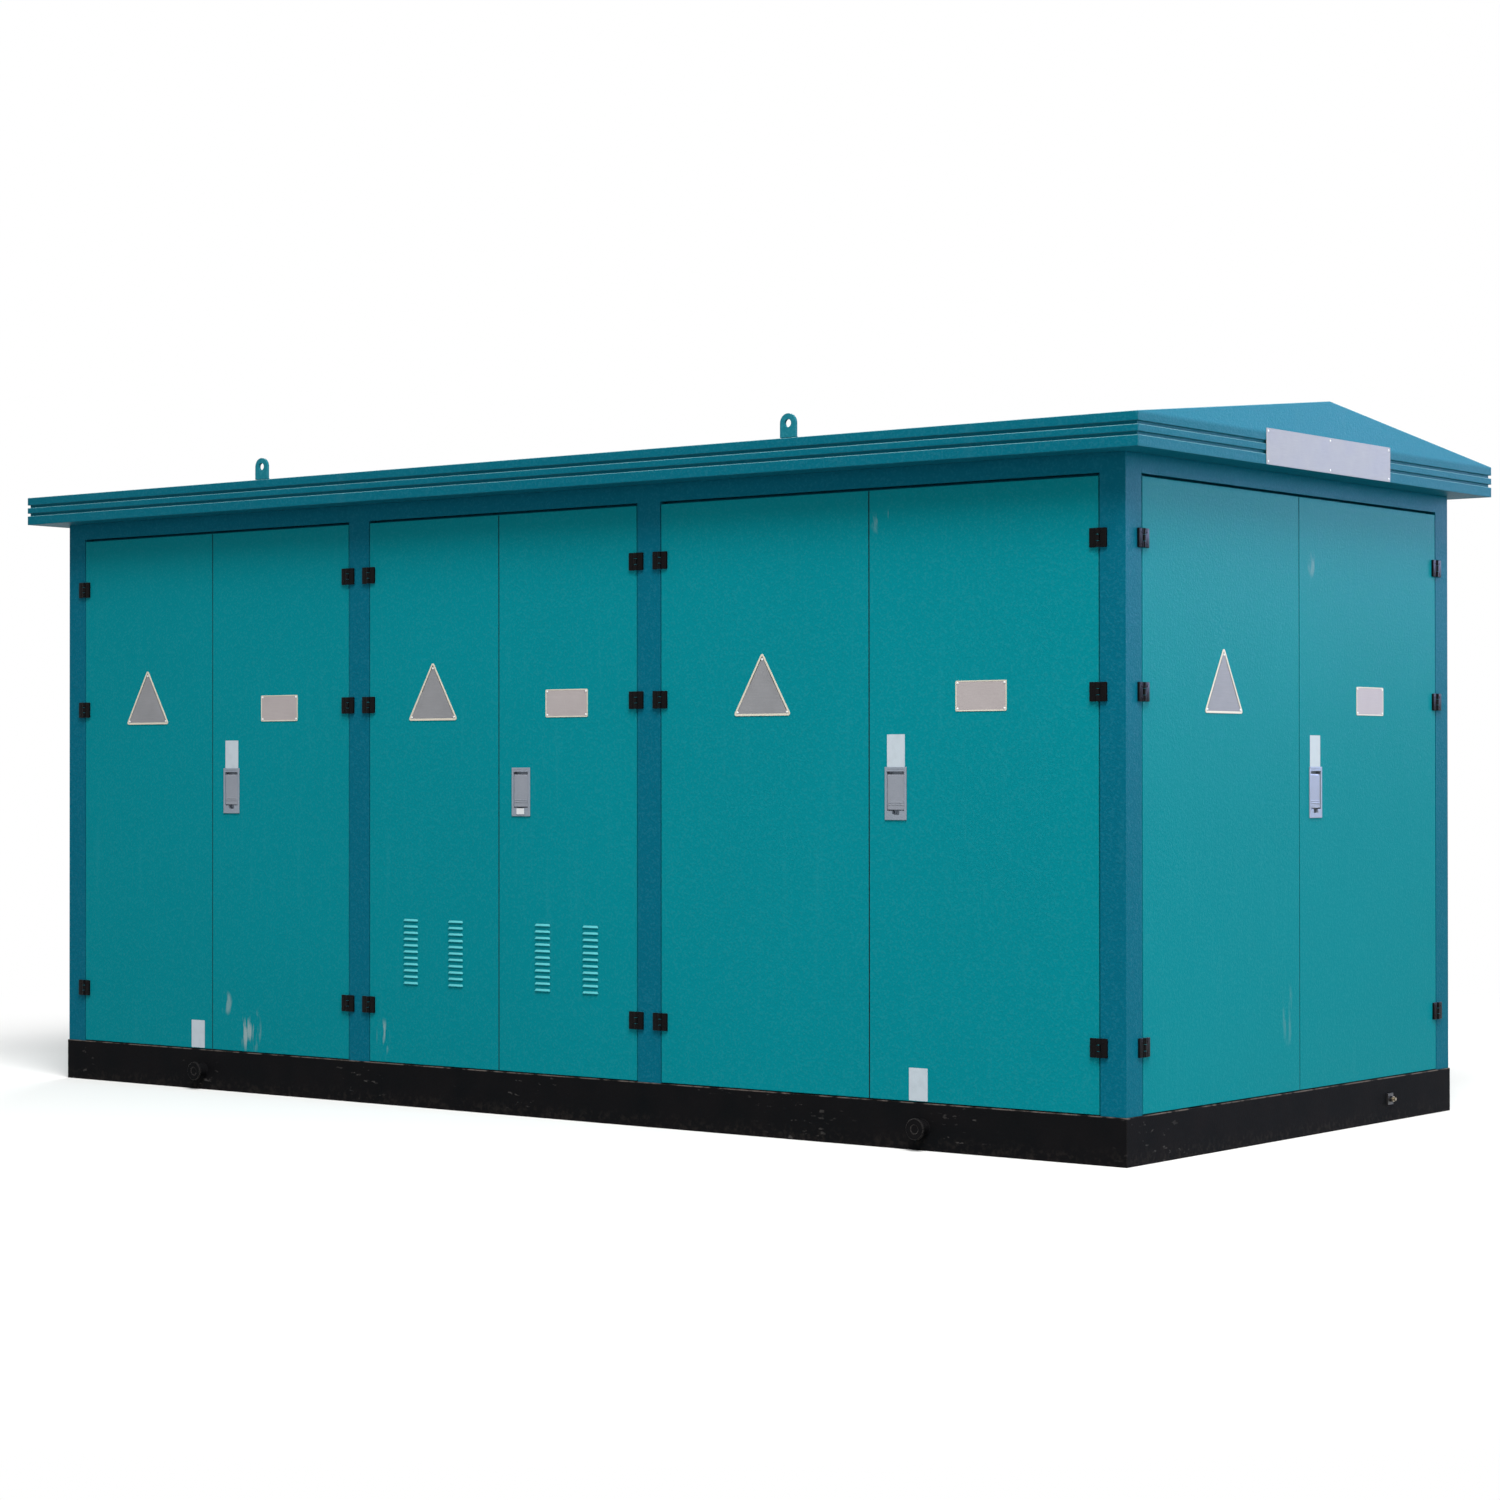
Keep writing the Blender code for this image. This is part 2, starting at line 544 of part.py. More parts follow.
def build_lock(name, wall, leaf, seam_edge):
    """Flush lock: a tray let into the leaf and the lever plate hinged at its top."""
    u = seam_edge + LOCK_FROM_EDGE
    width, height = LOCK_SIZE
    tray = (width - 2 * LOCK_FLANGE, height - 2 * LOCK_FLANGE)
    hole = (tray[0] + 2 * FIT, 6 * LEAF_SHEET, tray[1] + 2 * FIT)
    cut(leaf, boxes(centred_box((u, 0, LOCK_HEIGHT), hole)), wall)

    half_w, half_h = width / 2, height / 2
    housing = part(f"{name}_lock_housing", boxes(
        (u - half_w, u + half_w, -LOCK_PROUD, -FIT, LOCK_HEIGHT - half_h, LOCK_HEIGHT + half_h)),
        wall, LOCK_METAL, pivot=(u, 0, LOCK_HEIGHT))
    join(housing, boxes((u - tray[0] / 2, u + tray[0] / 2, -LOCK_PROUD + SUNK, LOCK_TRAY_DEPTH,
                         LOCK_HEIGHT - tray[1] / 2, LOCK_HEIGHT + tray[1] / 2)), wall)
    foot = LOCK_HEIGHT + LOCK_FOOT_TOP
    cut(housing, boxes((u - LOCK_RECESS_WIDTH / 2, u + LOCK_RECESS_WIDTH / 2,
                        -PAST, LOCK_RECESS_DEPTH, foot, LOCK_HEIGHT + LOCK_RECESS_TOP)), wall)
    notch_width, notch_height = FINGER_NOTCH
    cut(housing, boxes((u - notch_width / 2, u + notch_width / 2, -PAST, LOCK_RECESS_DEPTH,
                        foot - notch_height, foot + notch_height)), wall)

    pivot = (u, LEVER_PIVOT_DEPTH, LOCK_HEIGHT + LEVER_PIVOT_HEIGHT)
    half_lever = LOCK_RECESS_WIDTH / 2 - LEVER_CLEARANCE
    lever = part(f"{name}_lock_lever", boxes(
        (u - half_lever, u + half_lever, LEVER_PIVOT_DEPTH - LEVER_SHEET, LEVER_PIVOT_DEPTH,
         foot + LEVER_CLEARANCE, pivot[2])), wall, LOCK_METAL, pivot=pivot)
    join(lever, rods((1, 0, 0), LEVER_SIDES,
                     (pivot, LEVER_BARREL_RADIUS, 2 * (half_lever - SUNK / 8))), wall)


def build_pair(name, wall, bay, louvred=False):
    left, left_edges = build_leaf(f"{name}_left_leaf", wall, bay, -1)
    right, right_edges = build_leaf(f"{name}_right_leaf", wall, bay, 1)
    if louvred:
        cut_louvres(left, wall, left_edges)
        cut_louvres(right, wall, right_edges)
    build_lock(name, wall, right, right_edges[0])


def build_doors():
    build_pair("hv_front", FRONT, HV_BAY_SPAN)
    build_pair("transformer_front", FRONT, TRANSFORMER_BAY_SPAN, louvred=True)
    build_pair("lv_front", FRONT, LV_BAY_SPAN)
    build_pair("lv_end", RIGHT, END_BAY_SPAN)
    build_pair("hv_end", LEFT, END_BAY_SPAN)
    build_pair("transformer_rear", REAR, mirrored(TRANSFORMER_BAY_SPAN), louvred=True)


# ---- roof ---------------------------------------------------------------------------------
def gable_block(half_x, half_y, bottom, eaves, ridge):
    """A box whose top rises to a ridge along X."""
    bm = boxes((-half_x, half_x, -half_y, half_y, bottom, eaves))
    everything = bm.verts[:] + bm.edges[:] + bm.faces[:]
    bmesh.ops.bisect_plane(bm, geom=everything, plane_co=(0, 0, 0), plane_no=(0, 1, 0))
    for vert in bm.verts:
        if vert.co.z > (bottom + eaves) / 2 and abs(vert.co.y) < half_y / 2:
            vert.co.z = ridge
    return bm


def build_roof():
    half_x, half_y = HALF_LENGTH + OVERHANG, HALF_WIDTH + OVERHANG
    ridge = FASCIA_TOP + RIDGE_RISE
    roof = part("roof", gable_block(half_x, half_y, EAVES, FASCIA_TOP, ridge), WORLD, ROOF_PAINT)
    slope = RIDGE_RISE / half_y
    drop = ROOF_SHEET * math.hypot(1, slope)
    inner_x, inner_y = half_x - FASCIA_WALL, half_y - FASCIA_WALL
    cut(roof, gable_block(inner_x, inner_y, EAVES + ROOF_SHEET,
                          FASCIA_TOP + slope * FASCIA_WALL - drop, ridge - drop))
    open_x, open_y = half_x - SOFFIT_FLANGE, half_y - SOFFIT_FLANGE
    cut(roof, boxes((-open_x, open_x, -open_y, open_y, EAVES - PAST, EAVES + 2 * ROOF_SHEET)))
    bands = [(EAVES + base, EAVES + base + GROOVE_HEIGHT) for base in GROOVE_BASES]
    bottom_x, bottom_y = half_x - GROOVE_DEPTH, half_y - GROOVE_DEPTH
    cut(roof, boxes(*[(-half_x - PAST, half_x + PAST,
                       *sorted((side * bottom_y, side * (half_y + PAST))), *band)
                      for band in bands for side in (-1, 1)]))
    cut(roof, boxes(*[(*sorted((side * bottom_x, side * (half_x + PAST))),
                       -half_y - PAST, half_y + PAST, *band)
                      for band in bands for side in (-1, 1)]))
    return slope


def build_eye(name, wall, u, slope):
    """Lifting eye: a round-topped plate welded along the roof's edge."""
    d0 = -OVERHANG + EYE_FROM_EDGE
    d1 = d0 + EYE_SHEET
    foot = FASCIA_TOP + slope * (EYE_FROM_EDGE + EYE_SHEET) + FIT
    centre = (u, (d0 + d1) / 2, FASCIA_TOP + EYE_HOLE_HEIGHT)
    half = EYE_WIDTH / 2
    eye = part(name, boxes((u - half, u + half, d0, d1, foot, centre[2])), wall, ROOF_PAINT,
               pivot=centre)
    join(eye, rods((0, 1, 0), EYE_SIDES, (centre, half, EYE_SHEET)), wall)
    cut(eye, rods((0, 1, 0), ROUND_SIDES, (centre, EYE_HOLE_RADIUS, 4 * EYE_SHEET)), wall)


def build_eyes(slope):
    u = HALF_LENGTH - EYE_FROM_END
    build_eye("front_left_eye", FRONT, -u, slope)
    build_eye("front_right_eye", FRONT, u, slope)
    build_eye("rear_right_eye", REAR, -u, slope)
    build_eye("rear_left_eye", REAR, u, slope)


def build_nameplate():
    width, height = NAMEPLATE
    face = -OVERHANG - FIT
    centre = (0, face - NAMEPLATE_SHEET / 2, EAVES + height / 2 + SUNK)
    part("gable_nameplate", boxes(centred_box(centre, (width, NAMEPLATE_SHEET, height))),
         RIGHT, ALUMINIUM, pivot=centre)


# ---- transformer --------------------------------------------------------------------------
def tank_bottom():
    return BASE_TOP + TANK_FOOT_HEIGHT


def build_tank():
    x, bottom = TRANSFORMER_X, tank_bottom()
    half_x, half_y, height = TANK[0] / 2, TANK[1] / 2, TANK[2]
    tank = part("transformer_tank", boxes((x - half_x, x + half_x, -half_y, half_y,
                                           bottom, bottom + height)),
                WORLD, TANK_PAINT, pivot=(x, 0, bottom))
    low = bottom + (height - FIN_HEIGHT) / 2
    high = low + FIN_HEIGHT
    reach_x, reach_y = half_x + FIN_REACH, half_y + FIN_REACH
    half_fin = FIN_SHEET / 2
    side_rows = [(i - (SIDE_FINS - 1) / 2) * FIN_PITCH for i in range(SIDE_FINS)]
    end_rows = [(i - (END_FINS - 1) / 2) * FIN_PITCH for i in range(END_FINS)]
    join(tank, boxes(*[(x - reach_x, x + reach_x, y - half_fin, y + half_fin, low, high)
                       for y in side_rows]))
    inset = SUNK
    join(tank, boxes(*[(x + row - half_fin, x + row + half_fin, -reach_y, reach_y,
                        low + inset, high - inset) for row in end_rows]))
    cut(tank, boxes((x - half_x + TANK_SHEET, x + half_x - TANK_SHEET,
                     -half_y + TANK_SHEET, half_y - TANK_SHEET,
                     bottom + TANK_SHEET, bottom + height + PAST)))
    foot_x, foot_y = TANK_FOOT[0] / 2, TANK_FOOT[1] / 2
    join(tank, boxes(*[(x - foot_x, x + foot_x, y - foot_y, y + foot_y,
                        BASE_TOP, bottom + TANK_SHEET / 2)
                       for y in (-TANK_FOOT_SPREAD, TANK_FOOT_SPREAD)]))


def build_tank_cover():
    x, z = TRANSFORMER_X, tank_bottom() + TANK[2] + FIT
    half_x, half_y = TANK[0] / 2 + COVER_OVERHANG, TANK[1] / 2 + COVER_OVERHANG
    part("tank_cover", boxes((x - half_x, x + half_x, -half_y, half_y, z, z + COVER_SHEET)),
         WORLD, TANK_PAINT, pivot=(x, 0, z))
    return z + COVER_SHEET + FIT


def build_core_and_windings():
    """Three-limb laminated core, long side along Y, with one coil round each limb."""
    x, bottom = TRANSFORMER_X, tank_bottom() + TANK_SHEET + FIT
    half_y = LIMB_PITCH + LIMB / 2
    core = part("core", boxes((x - LIMB / 2, x + LIMB / 2, -half_y, half_y,
                               bottom, bottom + CORE_HEIGHT)),
                WORLD, CORE_STEEL, pivot=(x, 0, bottom))
    cut(core, boxes(*[(x - LIMB, x + LIMB, y - (LIMB_PITCH - LIMB) / 2,
                       y + (LIMB_PITCH - LIMB) / 2, bottom + YOKE, bottom + CORE_HEIGHT - YOKE)
                      for y in (-LIMB_PITCH / 2, LIMB_PITCH / 2)]))
    low = bottom + YOKE + FIT
    high = bottom + CORE_HEIGHT - YOKE - WINDING_END_GAP
    for phase, y in zip("abc", (-LIMB_PITCH, 0, LIMB_PITCH)):
        centre = (x, y, (low + high) / 2)
        winding = part(f"winding_{phase}", rods((0, 0, 1), WINDING_SIDES,
                                                (centre, WINDING_OUTSIDE, high - low)),
                       WORLD, COPPER, pivot=centre)
        cut(winding, rods((0, 0, 1), WINDING_SIDES,
                          (centre, WINDING_INSIDE, 2 * (high - low))))


def bushing_profile():
    """Outline of a ribbed insulator from the top of its axis to its foot."""
    rib = BUSHING_HEIGHT / (SHEDS + 2)
    points = [(0, BUSHING_HEIGHT), (BUSHING_RADIUS / 2, BUSHING_HEIGHT),
              (BUSHING_RADIUS / 2, BUSHING_HEIGHT - rib / 2)]
    for shed in range(SHEDS):
        top = BUSHING_HEIGHT - rib * (shed + 0.5)
        points += [(BUSHING_RADIUS, top), (SHED_RADIUS, top - rib * SHED_EDGE_DROP),
                   (BUSHING_RADIUS, top - rib * SHED_UNDERSIDE_DROP)]
    points += [(SHED_RADIUS, rib * BUSHING_FOOT_SHARE), (SHED_RADIUS, 0), (0, 0)]
    return points


def build_hv_bushings(seat):
    for phase, y in zip("abc", (-BUSHING_PITCH, 0, BUSHING_PITCH)):
        bm = bmesh.new()
        verts = [bm.verts.new((radius, 0, z)) for radius, z in bushing_profile()]
        for first, second in zip(verts, verts[1:]):
            bm.edges.new((first, second))
        bushing = link(f"hv_bushing_{phase}", bm,
                       Matrix.Translation((TRANSFORMER_X - BUSHING_OFFSET, y, seat)), PARTS)
        bushing.data.materials.append(PORCELAIN)
        screw = bushing.modifiers.new("turned", "SCREW")
        screw.steps = screw.render_steps = BUSHING_STEPS
        screw.use_merge_vertices = True
        screw.merge_threshold = 0.0001


def build_lv_terminal_block(seat):
    """Moulded block that brings the low-voltage bars out through the cover."""
    x = TRANSFORMER_X + BUSHING_OFFSET
    width, length, height = LV_BLOCK
    block = part("lv_terminal_block", boxes(centred_box((x, 0, seat + height / 2), LV_BLOCK)),
                 WORLD, RESIN, pivot=(x, 0, seat))
    palm_z = seat + height + LV_PALM[2] / 2 - SUNK
    rows = [(i - (LV_PALMS - 1) / 2) * LV_PALM_PITCH for i in range(LV_PALMS)]
    join(block, boxes(*[centred_box((x, y, palm_z), LV_PALM) for y in rows]))


# ---- switchgear ---------------------------------------------------------------------------
def build_cabinet(name, x, front, size, doors, material):
    """Sheet cabinet, open underneath for its cables, with compartment doors on its front."""
    width, depth, height = size
    z = BASE_TOP + FLOOR_SHEET + FIT
    sides = (x - width / 2, x + width / 2)
    cabinet = part(name, boxes((*sides, front, front + depth, z, z + height)), WORLD, material,
                   pivot=(x, front, z))
    cut(cabinet, boxes((sides[0] + CABINET_SHEET, sides[1] - CABINET_SHEET,
                        front + CABINET_SHEET, front + depth - CABINET_SHEET,
                        z - PAST, z + height - CABINET_SHEET)))
    margin, door_width = CABINET_DOOR_MARGIN, width / doors
    lefts = [sides[0] + door_width * i for i in range(doors)]
    join(cabinet, boxes(*[(left + margin / 2, left + door_width - margin / 2,
                           front - CABINET_DOOR_PROUD, front + SUNK,
                           z + CABINET_PLINTH, z + height - margin) for left in lefts]))
    return cabinet, z


def build_ring_main_unit():
    """Three-compartment ring main unit with a rotary selector on its middle compartment."""
    x = RING_MAIN_X
    unit, floor_z = build_cabinet("ring_main_unit", x, RING_MAIN_FRONT, RING_MAIN_UNIT, 3,
                                  SWITCHGEAR_PAINT)
    z = floor_z + SELECTOR_HEIGHT
    face = RING_MAIN_FRONT - CABINET_DOOR_PROUD
    boss = (x, face - (SELECTOR_BOSS - SUNK) / 2, z)
    join(unit, rods((0, 1, 0), ROUND_SIDES, (boss, SELECTOR_BOSS_RADIUS, SELECTOR_BOSS + SUNK)))
    seat = face - SELECTOR_BOSS - FIT
    hub = (x, seat - SELECTOR_HUB / 2, z)
    lever = part("ring_main_selector", rods((0, 1, 0), ROUND_SIDES,
                                            (hub, SELECTOR_HUB_RADIUS, SELECTOR_HUB)),
                 WORLD, BLACK_PLASTIC, pivot=(x, seat, z))
    grip = (x, seat - SELECTOR_HUB + SELECTOR_LEVER[1] / 2 + SUNK / 2,
            z - SELECTOR_LEVER[2] / 2)
    join(lever, boxes(centred_box(grip, SELECTOR_LEVER)))


def build_switchboard():
    """Low-voltage board; its main breaker carries the lever between two ears."""
    board, floor_z = build_cabinet("lv_switchboard", SWITCHBOARD_X, SWITCHBOARD_FRONT,
                                   SWITCHBOARD, 2, BOARD_PAINT)
    u, z = SWITCHBOARD_X - SWITCHBOARD[0] / 4, floor_z + BREAKER_HEIGHT
    face = SWITCHBOARD_FRONT - CABINET_DOOR_PROUD
    body = (u, face - (BREAKER[1] - SUNK) / 2, z)
    join(board, boxes(centred_box(body, (BREAKER[0], BREAKER[1] + SUNK, BREAKER[2]))))
    seat, ear = face - BREAKER[1], BREAKER_BARREL_RADIUS
    near = BREAKER_LEVER[0] / 2 + LEVER_CLEARANCE
    join(board, boxes(*[(*sorted((u + side * near, u + side * (near + ear))),
                         seat - 2 * ear - BREAKER_LEVER_GAP, seat + SUNK, z - ear, z + ear)
                        for side in (-1, 1)]))
    pivot = (u, seat - ear - BREAKER_LEVER_GAP, z)
    lever = part("main_breaker_lever", rods((1, 0, 0), LEVER_SIDES,
                                            (pivot, BREAKER_BARREL_RADIUS, BREAKER_LEVER[0])),
                 WORLD, BLACK_PLASTIC, pivot=pivot)
    toggle = (u, pivot[1] - BREAKER_LEVER[1] / 2, z)
    inside = (BREAKER_LEVER[0] - SUNK, BREAKER_LEVER[1], BREAKER_LEVER[2])
    join(lever, boxes(centred_box(toggle, inside)))


clear_scene()
PARTS = collection("box_substation")
TOOLS = collection("cutting_and_joining_tools")

DOOR_PAINT = finish("teal_door_paint", (0.004, 0.220, 0.262), 0.38, 0.0)
FRAME_PAINT = finish("blue_frame_paint", (0.003, 0.110, 0.170), 0.42, 0.0)
ROOF_PAINT = finish("blue_roof_paint", (0.003, 0.120, 0.190), 0.45, 0.0)
BLACK = finish("black_base_paint", (0.012, 0.012, 0.014), 0.45, 0.0)
CHEQUER = finish("chequer_plate", (0.30, 0.31, 0.32), 0.45, 0.9)
GALVANISED = finish("galvanised_sheet", (0.55, 0.57, 0.59), 0.40, 0.9)
STEEL = finish("plated_steel", (0.50, 0.50, 0.50), 0.30, 1.0)
ALUMINIUM = finish("brushed_aluminium", (0.62, 0.64, 0.67), 0.30, 1.0)
LOCK_METAL = finish("satin_lock_metal", (0.35, 0.38, 0.43), 0.35, 0.9)
TANK_PAINT = finish("grey_tank_paint", (0.28, 0.30, 0.31), 0.45, 0.0)
CORE_STEEL = finish("laminated_core_steel", (0.25, 0.25, 0.26), 0.50, 0.9)
COPPER = finish("varnished_winding", (0.36, 0.14, 0.05), 0.45, 0.2)
PORCELAIN = finish("brown_porcelain", (0.16, 0.045, 0.025), 0.18, 0.0)
RESIN = finish("cast_resin", (0.30, 0.09, 0.06), 0.40, 0.0)
SWITCHGEAR_PAINT = finish("light_grey_enamel", (0.55, 0.56, 0.54), 0.40, 0.0)
BOARD_PAINT = finish("pebble_grey_enamel", (0.46, 0.47, 0.44), 0.42, 0.0)
BLACK_PLASTIC = finish("black_plastic", (0.02, 0.02, 0.02), 0.40, 0.0)

build_base_frame()
build_floors()
build_trunnions()
build_earth_stud()
build_long_frames()
build_end_frames()
build_rear_panel("hv_rear_panel", mirrored(HV_BAY_SPAN))
build_rear_panel("lv_rear_panel", mirrored(LV_BAY_SPAN))
build_partition("hv_partition", HV_PARTITION_X, HV_PASSAGE_CENTRE)
build_partition("lv_partition", LV_PARTITION_X, LV_PASSAGE_CENTRE)
build_doors()
build_eyes(build_roof())
build_nameplate()
build_tank()
COVER_TOP = build_tank_cover()
build_core_and_windings()
build_hv_bushings(COVER_TOP)
build_lv_terminal_block(COVER_TOP)
build_ring_main_unit()
build_switchboard()
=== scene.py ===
import json
import math

import bpy
from mathutils import Matrix, Vector


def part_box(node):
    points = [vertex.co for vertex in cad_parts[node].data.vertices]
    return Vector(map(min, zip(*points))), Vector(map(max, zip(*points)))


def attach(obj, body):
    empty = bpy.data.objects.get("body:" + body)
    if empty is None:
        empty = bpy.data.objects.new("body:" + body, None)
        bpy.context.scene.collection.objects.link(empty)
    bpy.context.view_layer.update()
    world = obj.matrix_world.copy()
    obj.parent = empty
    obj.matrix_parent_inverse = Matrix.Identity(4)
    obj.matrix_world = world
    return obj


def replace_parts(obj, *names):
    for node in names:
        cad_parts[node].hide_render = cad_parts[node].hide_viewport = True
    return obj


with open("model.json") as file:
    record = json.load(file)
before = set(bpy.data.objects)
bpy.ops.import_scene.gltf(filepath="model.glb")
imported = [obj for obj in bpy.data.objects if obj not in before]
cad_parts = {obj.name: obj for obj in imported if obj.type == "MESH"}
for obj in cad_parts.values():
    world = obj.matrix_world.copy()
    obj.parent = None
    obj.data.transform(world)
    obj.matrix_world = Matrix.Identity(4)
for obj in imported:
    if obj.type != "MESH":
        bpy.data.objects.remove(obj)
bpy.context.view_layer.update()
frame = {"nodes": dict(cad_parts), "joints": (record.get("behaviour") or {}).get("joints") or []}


# ---- yard and light ------------------------------------------------------------------------
# The substation stands on a plain pale floor under a big soft lamp high over its front right
# corner, with weak fills round it.  A last lamp beyond the right-hand end only shows as gloss:
# it gives that end's enamel its bluish sheen.
class Value:
    """A socket of a shader.  Arithmetic on Values adds Math nodes, node() adds any other."""

    def __init__(self, tree, socket):
        self.tree, self.socket = tree, socket

    def node(self, kind, settings=(), sockets=(), output=0):
        made = self.tree.nodes.new("ShaderNode" + kind)
        for name, value in dict(settings).items():
            setattr(made, name, value)
        for key, value in dict(sockets).items():
            if isinstance(value, Value):
                self.tree.links.new(value.socket, made.inputs[key])
            else:
                made.inputs[key].default_value = value
        return Value(self.tree, made.outputs[output])

    def math(self, operation, *values):
        return self.node("Math", {"operation": operation}, enumerate(values))

    def __add__(self, other):
        return self.math("ADD", self, other)

    def __radd__(self, other):
        return self.math("ADD", other, self)

    def __sub__(self, other):
        return self.math("SUBTRACT", self, other)

    def __rsub__(self, other):
        return self.math("SUBTRACT", other, self)

    def __mul__(self, other):
        return self.math("MULTIPLY", self, other)

    def __rmul__(self, other):
        return self.math("MULTIPLY", other, self)

    def __truediv__(self, other):
        return self.math("DIVIDE", self, other)

    def __mod__(self, other):
        return self.math("FLOORED_MODULO", self, other)

    def __gt__(self, other):
        return self.math("GREATER_THAN", self, other)

    def __lt__(self, other):
        return self.math("LESS_THAN", self, other)

    def __abs__(self):
        return self.math("ABSOLUTE", self)

    def between(self, low, high):
        """0 below low, 1 above high, and a smooth step from one to the other."""
        return self.node("MapRange", {"interpolation_type": "SMOOTHSTEP"},
                         {0: self, 1: low, 2: high, 3: 0.0, 4: 1.0})


def seen_directly(value):
    """1 for rays from the camera and for those that gloss or glass sends on."""
    rays = [value.node("LightPath", output=kind) for kind in
            ("Is Camera Ray", "Is Glossy Ray", "Is Transmission Ray")]
    return value.math("MAXIMUM", value.math("MAXIMUM", rays[0], rays[1]), rays[2])


world = bpy.data.worlds.new("pale_studio")
bpy.context.scene.world = world
world.use_nodes = True
sky_output = world.node_tree.nodes["World Output"]
sky = Value(world.node_tree, world.node_tree.nodes["Background"].outputs[0])
white_sky = sky.node("Background", {}, {"Color": (1, 1, 1, 1), "Strength": 1.0})
dim_sky = sky.node("Background", {}, {"Color": (1, 1, 1, 1), "Strength": 0.40})
both_skies = sky.node("MixShader", {}, {0: seen_directly(sky), 1: dim_sky, 2: white_sky})
world.node_tree.links.new(both_skies.socket, sky_output.inputs["Surface"])

bpy.ops.object.select_all(action="DESELECT")
bpy.ops.mesh.primitive_circle_add(vertices=96, radius=60, fill_type="NGON")
floor = bpy.context.object
floor.name = floor.data.name = "floor"
floor_material = bpy.data.materials.new("pale_floor")
floor_material.use_nodes = True
tree = floor_material.node_tree
ground = Value(tree, tree.nodes.new("ShaderNodeTexCoord").outputs["Object"])
distance = ground.node("VectorMath", {"operation": "LENGTH"}, {0: ground}, "Value")
fade_from, fade_to = 3.6, 7.0
lit = ground.node("BsdfDiffuse", {}, {"Color": (0.80, 0.80, 0.80, 1)})
far = ground.node("Emission", {}, {"Color": (1, 1, 1, 1), "Strength": 1.0})
bounce = ground.node("BsdfDiffuse", {}, {"Color": (0.34, 0.34, 0.34, 1)})
shown = ground.node("MixShader", {}, {0: distance.between(fade_from, fade_to), 1: lit, 2: far})
whole = ground.node("MixShader", {}, {0: seen_directly(ground), 1: bounce, 2: shown})
tree.links.new(whole.socket, tree.nodes["Material Output"].inputs["Surface"])
floor.data.materials.append(floor_material)


def soft_lamp(name, place, aim, size, power, colour, only_gloss=False):
    """A large oblong lamp; only_gloss keeps it to reflections."""
    light = bpy.data.lights.new(name, "AREA")
    light.shape, light.size, light.size_y = "RECTANGLE", *size
    light.energy, light.color = power, colour
    stand = bpy.data.objects.new(name, light)
    stand.location = place
    stand.rotation_mode = "QUATERNION"
    stand.rotation_quaternion = (Vector(aim) - Vector(place)).to_track_quat("-Z", "Y")
    stand.visible_camera = False
    stand.visible_diffuse = not only_gloss
    bpy.context.scene.collection.objects.link(stand)


soft_lamp("high_lamp", (8.4, -8.0, 16.2), (0.3, 0, 1.0), (9.0, 9.0), 4650, (1.0, 0.99, 0.97))
soft_lamp("front_fill", (4.0, -13.0, 3.0), (0, 0, 1.2), (7.0, 4.0), 180, (0.98, 1.0, 1.0))
soft_lamp("end_fill", (13.0, 1.0, 3.0), (2.5, 0, 1.2), (5.0, 4.0), 380, (0.98, 1.0, 1.0))
soft_lamp("rear_fill", (-7.0, 11.0, 7.0), (0, 0, 1.0), (8.0, 6.0), 1000, (0.97, 0.99, 1.0))
soft_lamp("end_sheen", (7.3, 9.4, 4.3), (2.5, 0, 2.2), (6.0, 3.8), 1350, (0.46, 0.58, 1.0), True)

camera_data = bpy.data.cameras.new("camera")
camera_data.sensor_width = 36
camera_data.lens = 79.4
camera_place, heading, tilt, roll = (8.019, -10.0356, 1.2464), 38.148, 90.377, -0.047
camera = bpy.data.objects.new("camera", camera_data)
camera.matrix_world = (
    Matrix.Translation(camera_place)
    @ Matrix.Rotation(math.radians(heading), 4, "Z")
    @ Matrix.Rotation(math.radians(tilt), 4, "X")
    @ Matrix.Rotation(math.radians(roll), 4, "Z"))
bpy.context.scene.collection.objects.link(camera)
bpy.context.scene.camera = camera
bpy.context.scene.view_settings.view_transform = "Standard"


# ---- skid ----------------------------------------------------------------------------------
# Welded channel under brushed black enamel.  It has been dragged, strapped and splashed:
# brownish and scuffed here and there.  A thin pale line along its outer upper edge is partly
# rubbed paint and partly a painted highlight.
def new_material(name):
    """A material and the Value of its Object coordinates."""
    material = bpy.data.materials.new(name)
    material.use_nodes = True
    tree = material.node_tree
    return material, Value(tree, tree.nodes.new("ShaderNodeTexCoord").outputs["Object"])


def noise(place, scale, detail=2.0, stretch=None):
    """Cloudy noise from 0 to 1; stretch multiplies the coordinates first."""
    if stretch:
        place = place.node("Mapping", {}, {"Vector": place, "Scale": stretch})
    return place.node("TexNoise", {}, {"Vector": place, "Scale": scale, "Detail": detail})


def mixed(share, first, second):
    """first where share is 0 and second where it is 1; each is three numbers or a Value."""
    whole = [c if isinstance(c, Value) else (*c, 1.0) for c in (first, second)]
    return share.node("Mix", {"data_type": "RGBA"}, {0: share, 6: whole[0], 7: whole[1]}, 2)


def axis_of(place, index):
    """One of the three numbers of a place, a normal or a colour."""
    return place.node("SeparateXYZ", {}, {0: place}, index)


def worn_edges(place, radius):
    """The rounded normal of sharp edges, and a mask that is 1 on such an edge."""
    rounded = place.node("Bevel", {"samples": 4}, {"Radius": radius})
    flat = place.node("NewGeometry", output="Normal")
    along = place.node("VectorMath", {"operation": "DOT_PRODUCT"}, {0: rounded, 1: flat}, "Value")
    return rounded, (1 - along).between(0.02, 0.25)


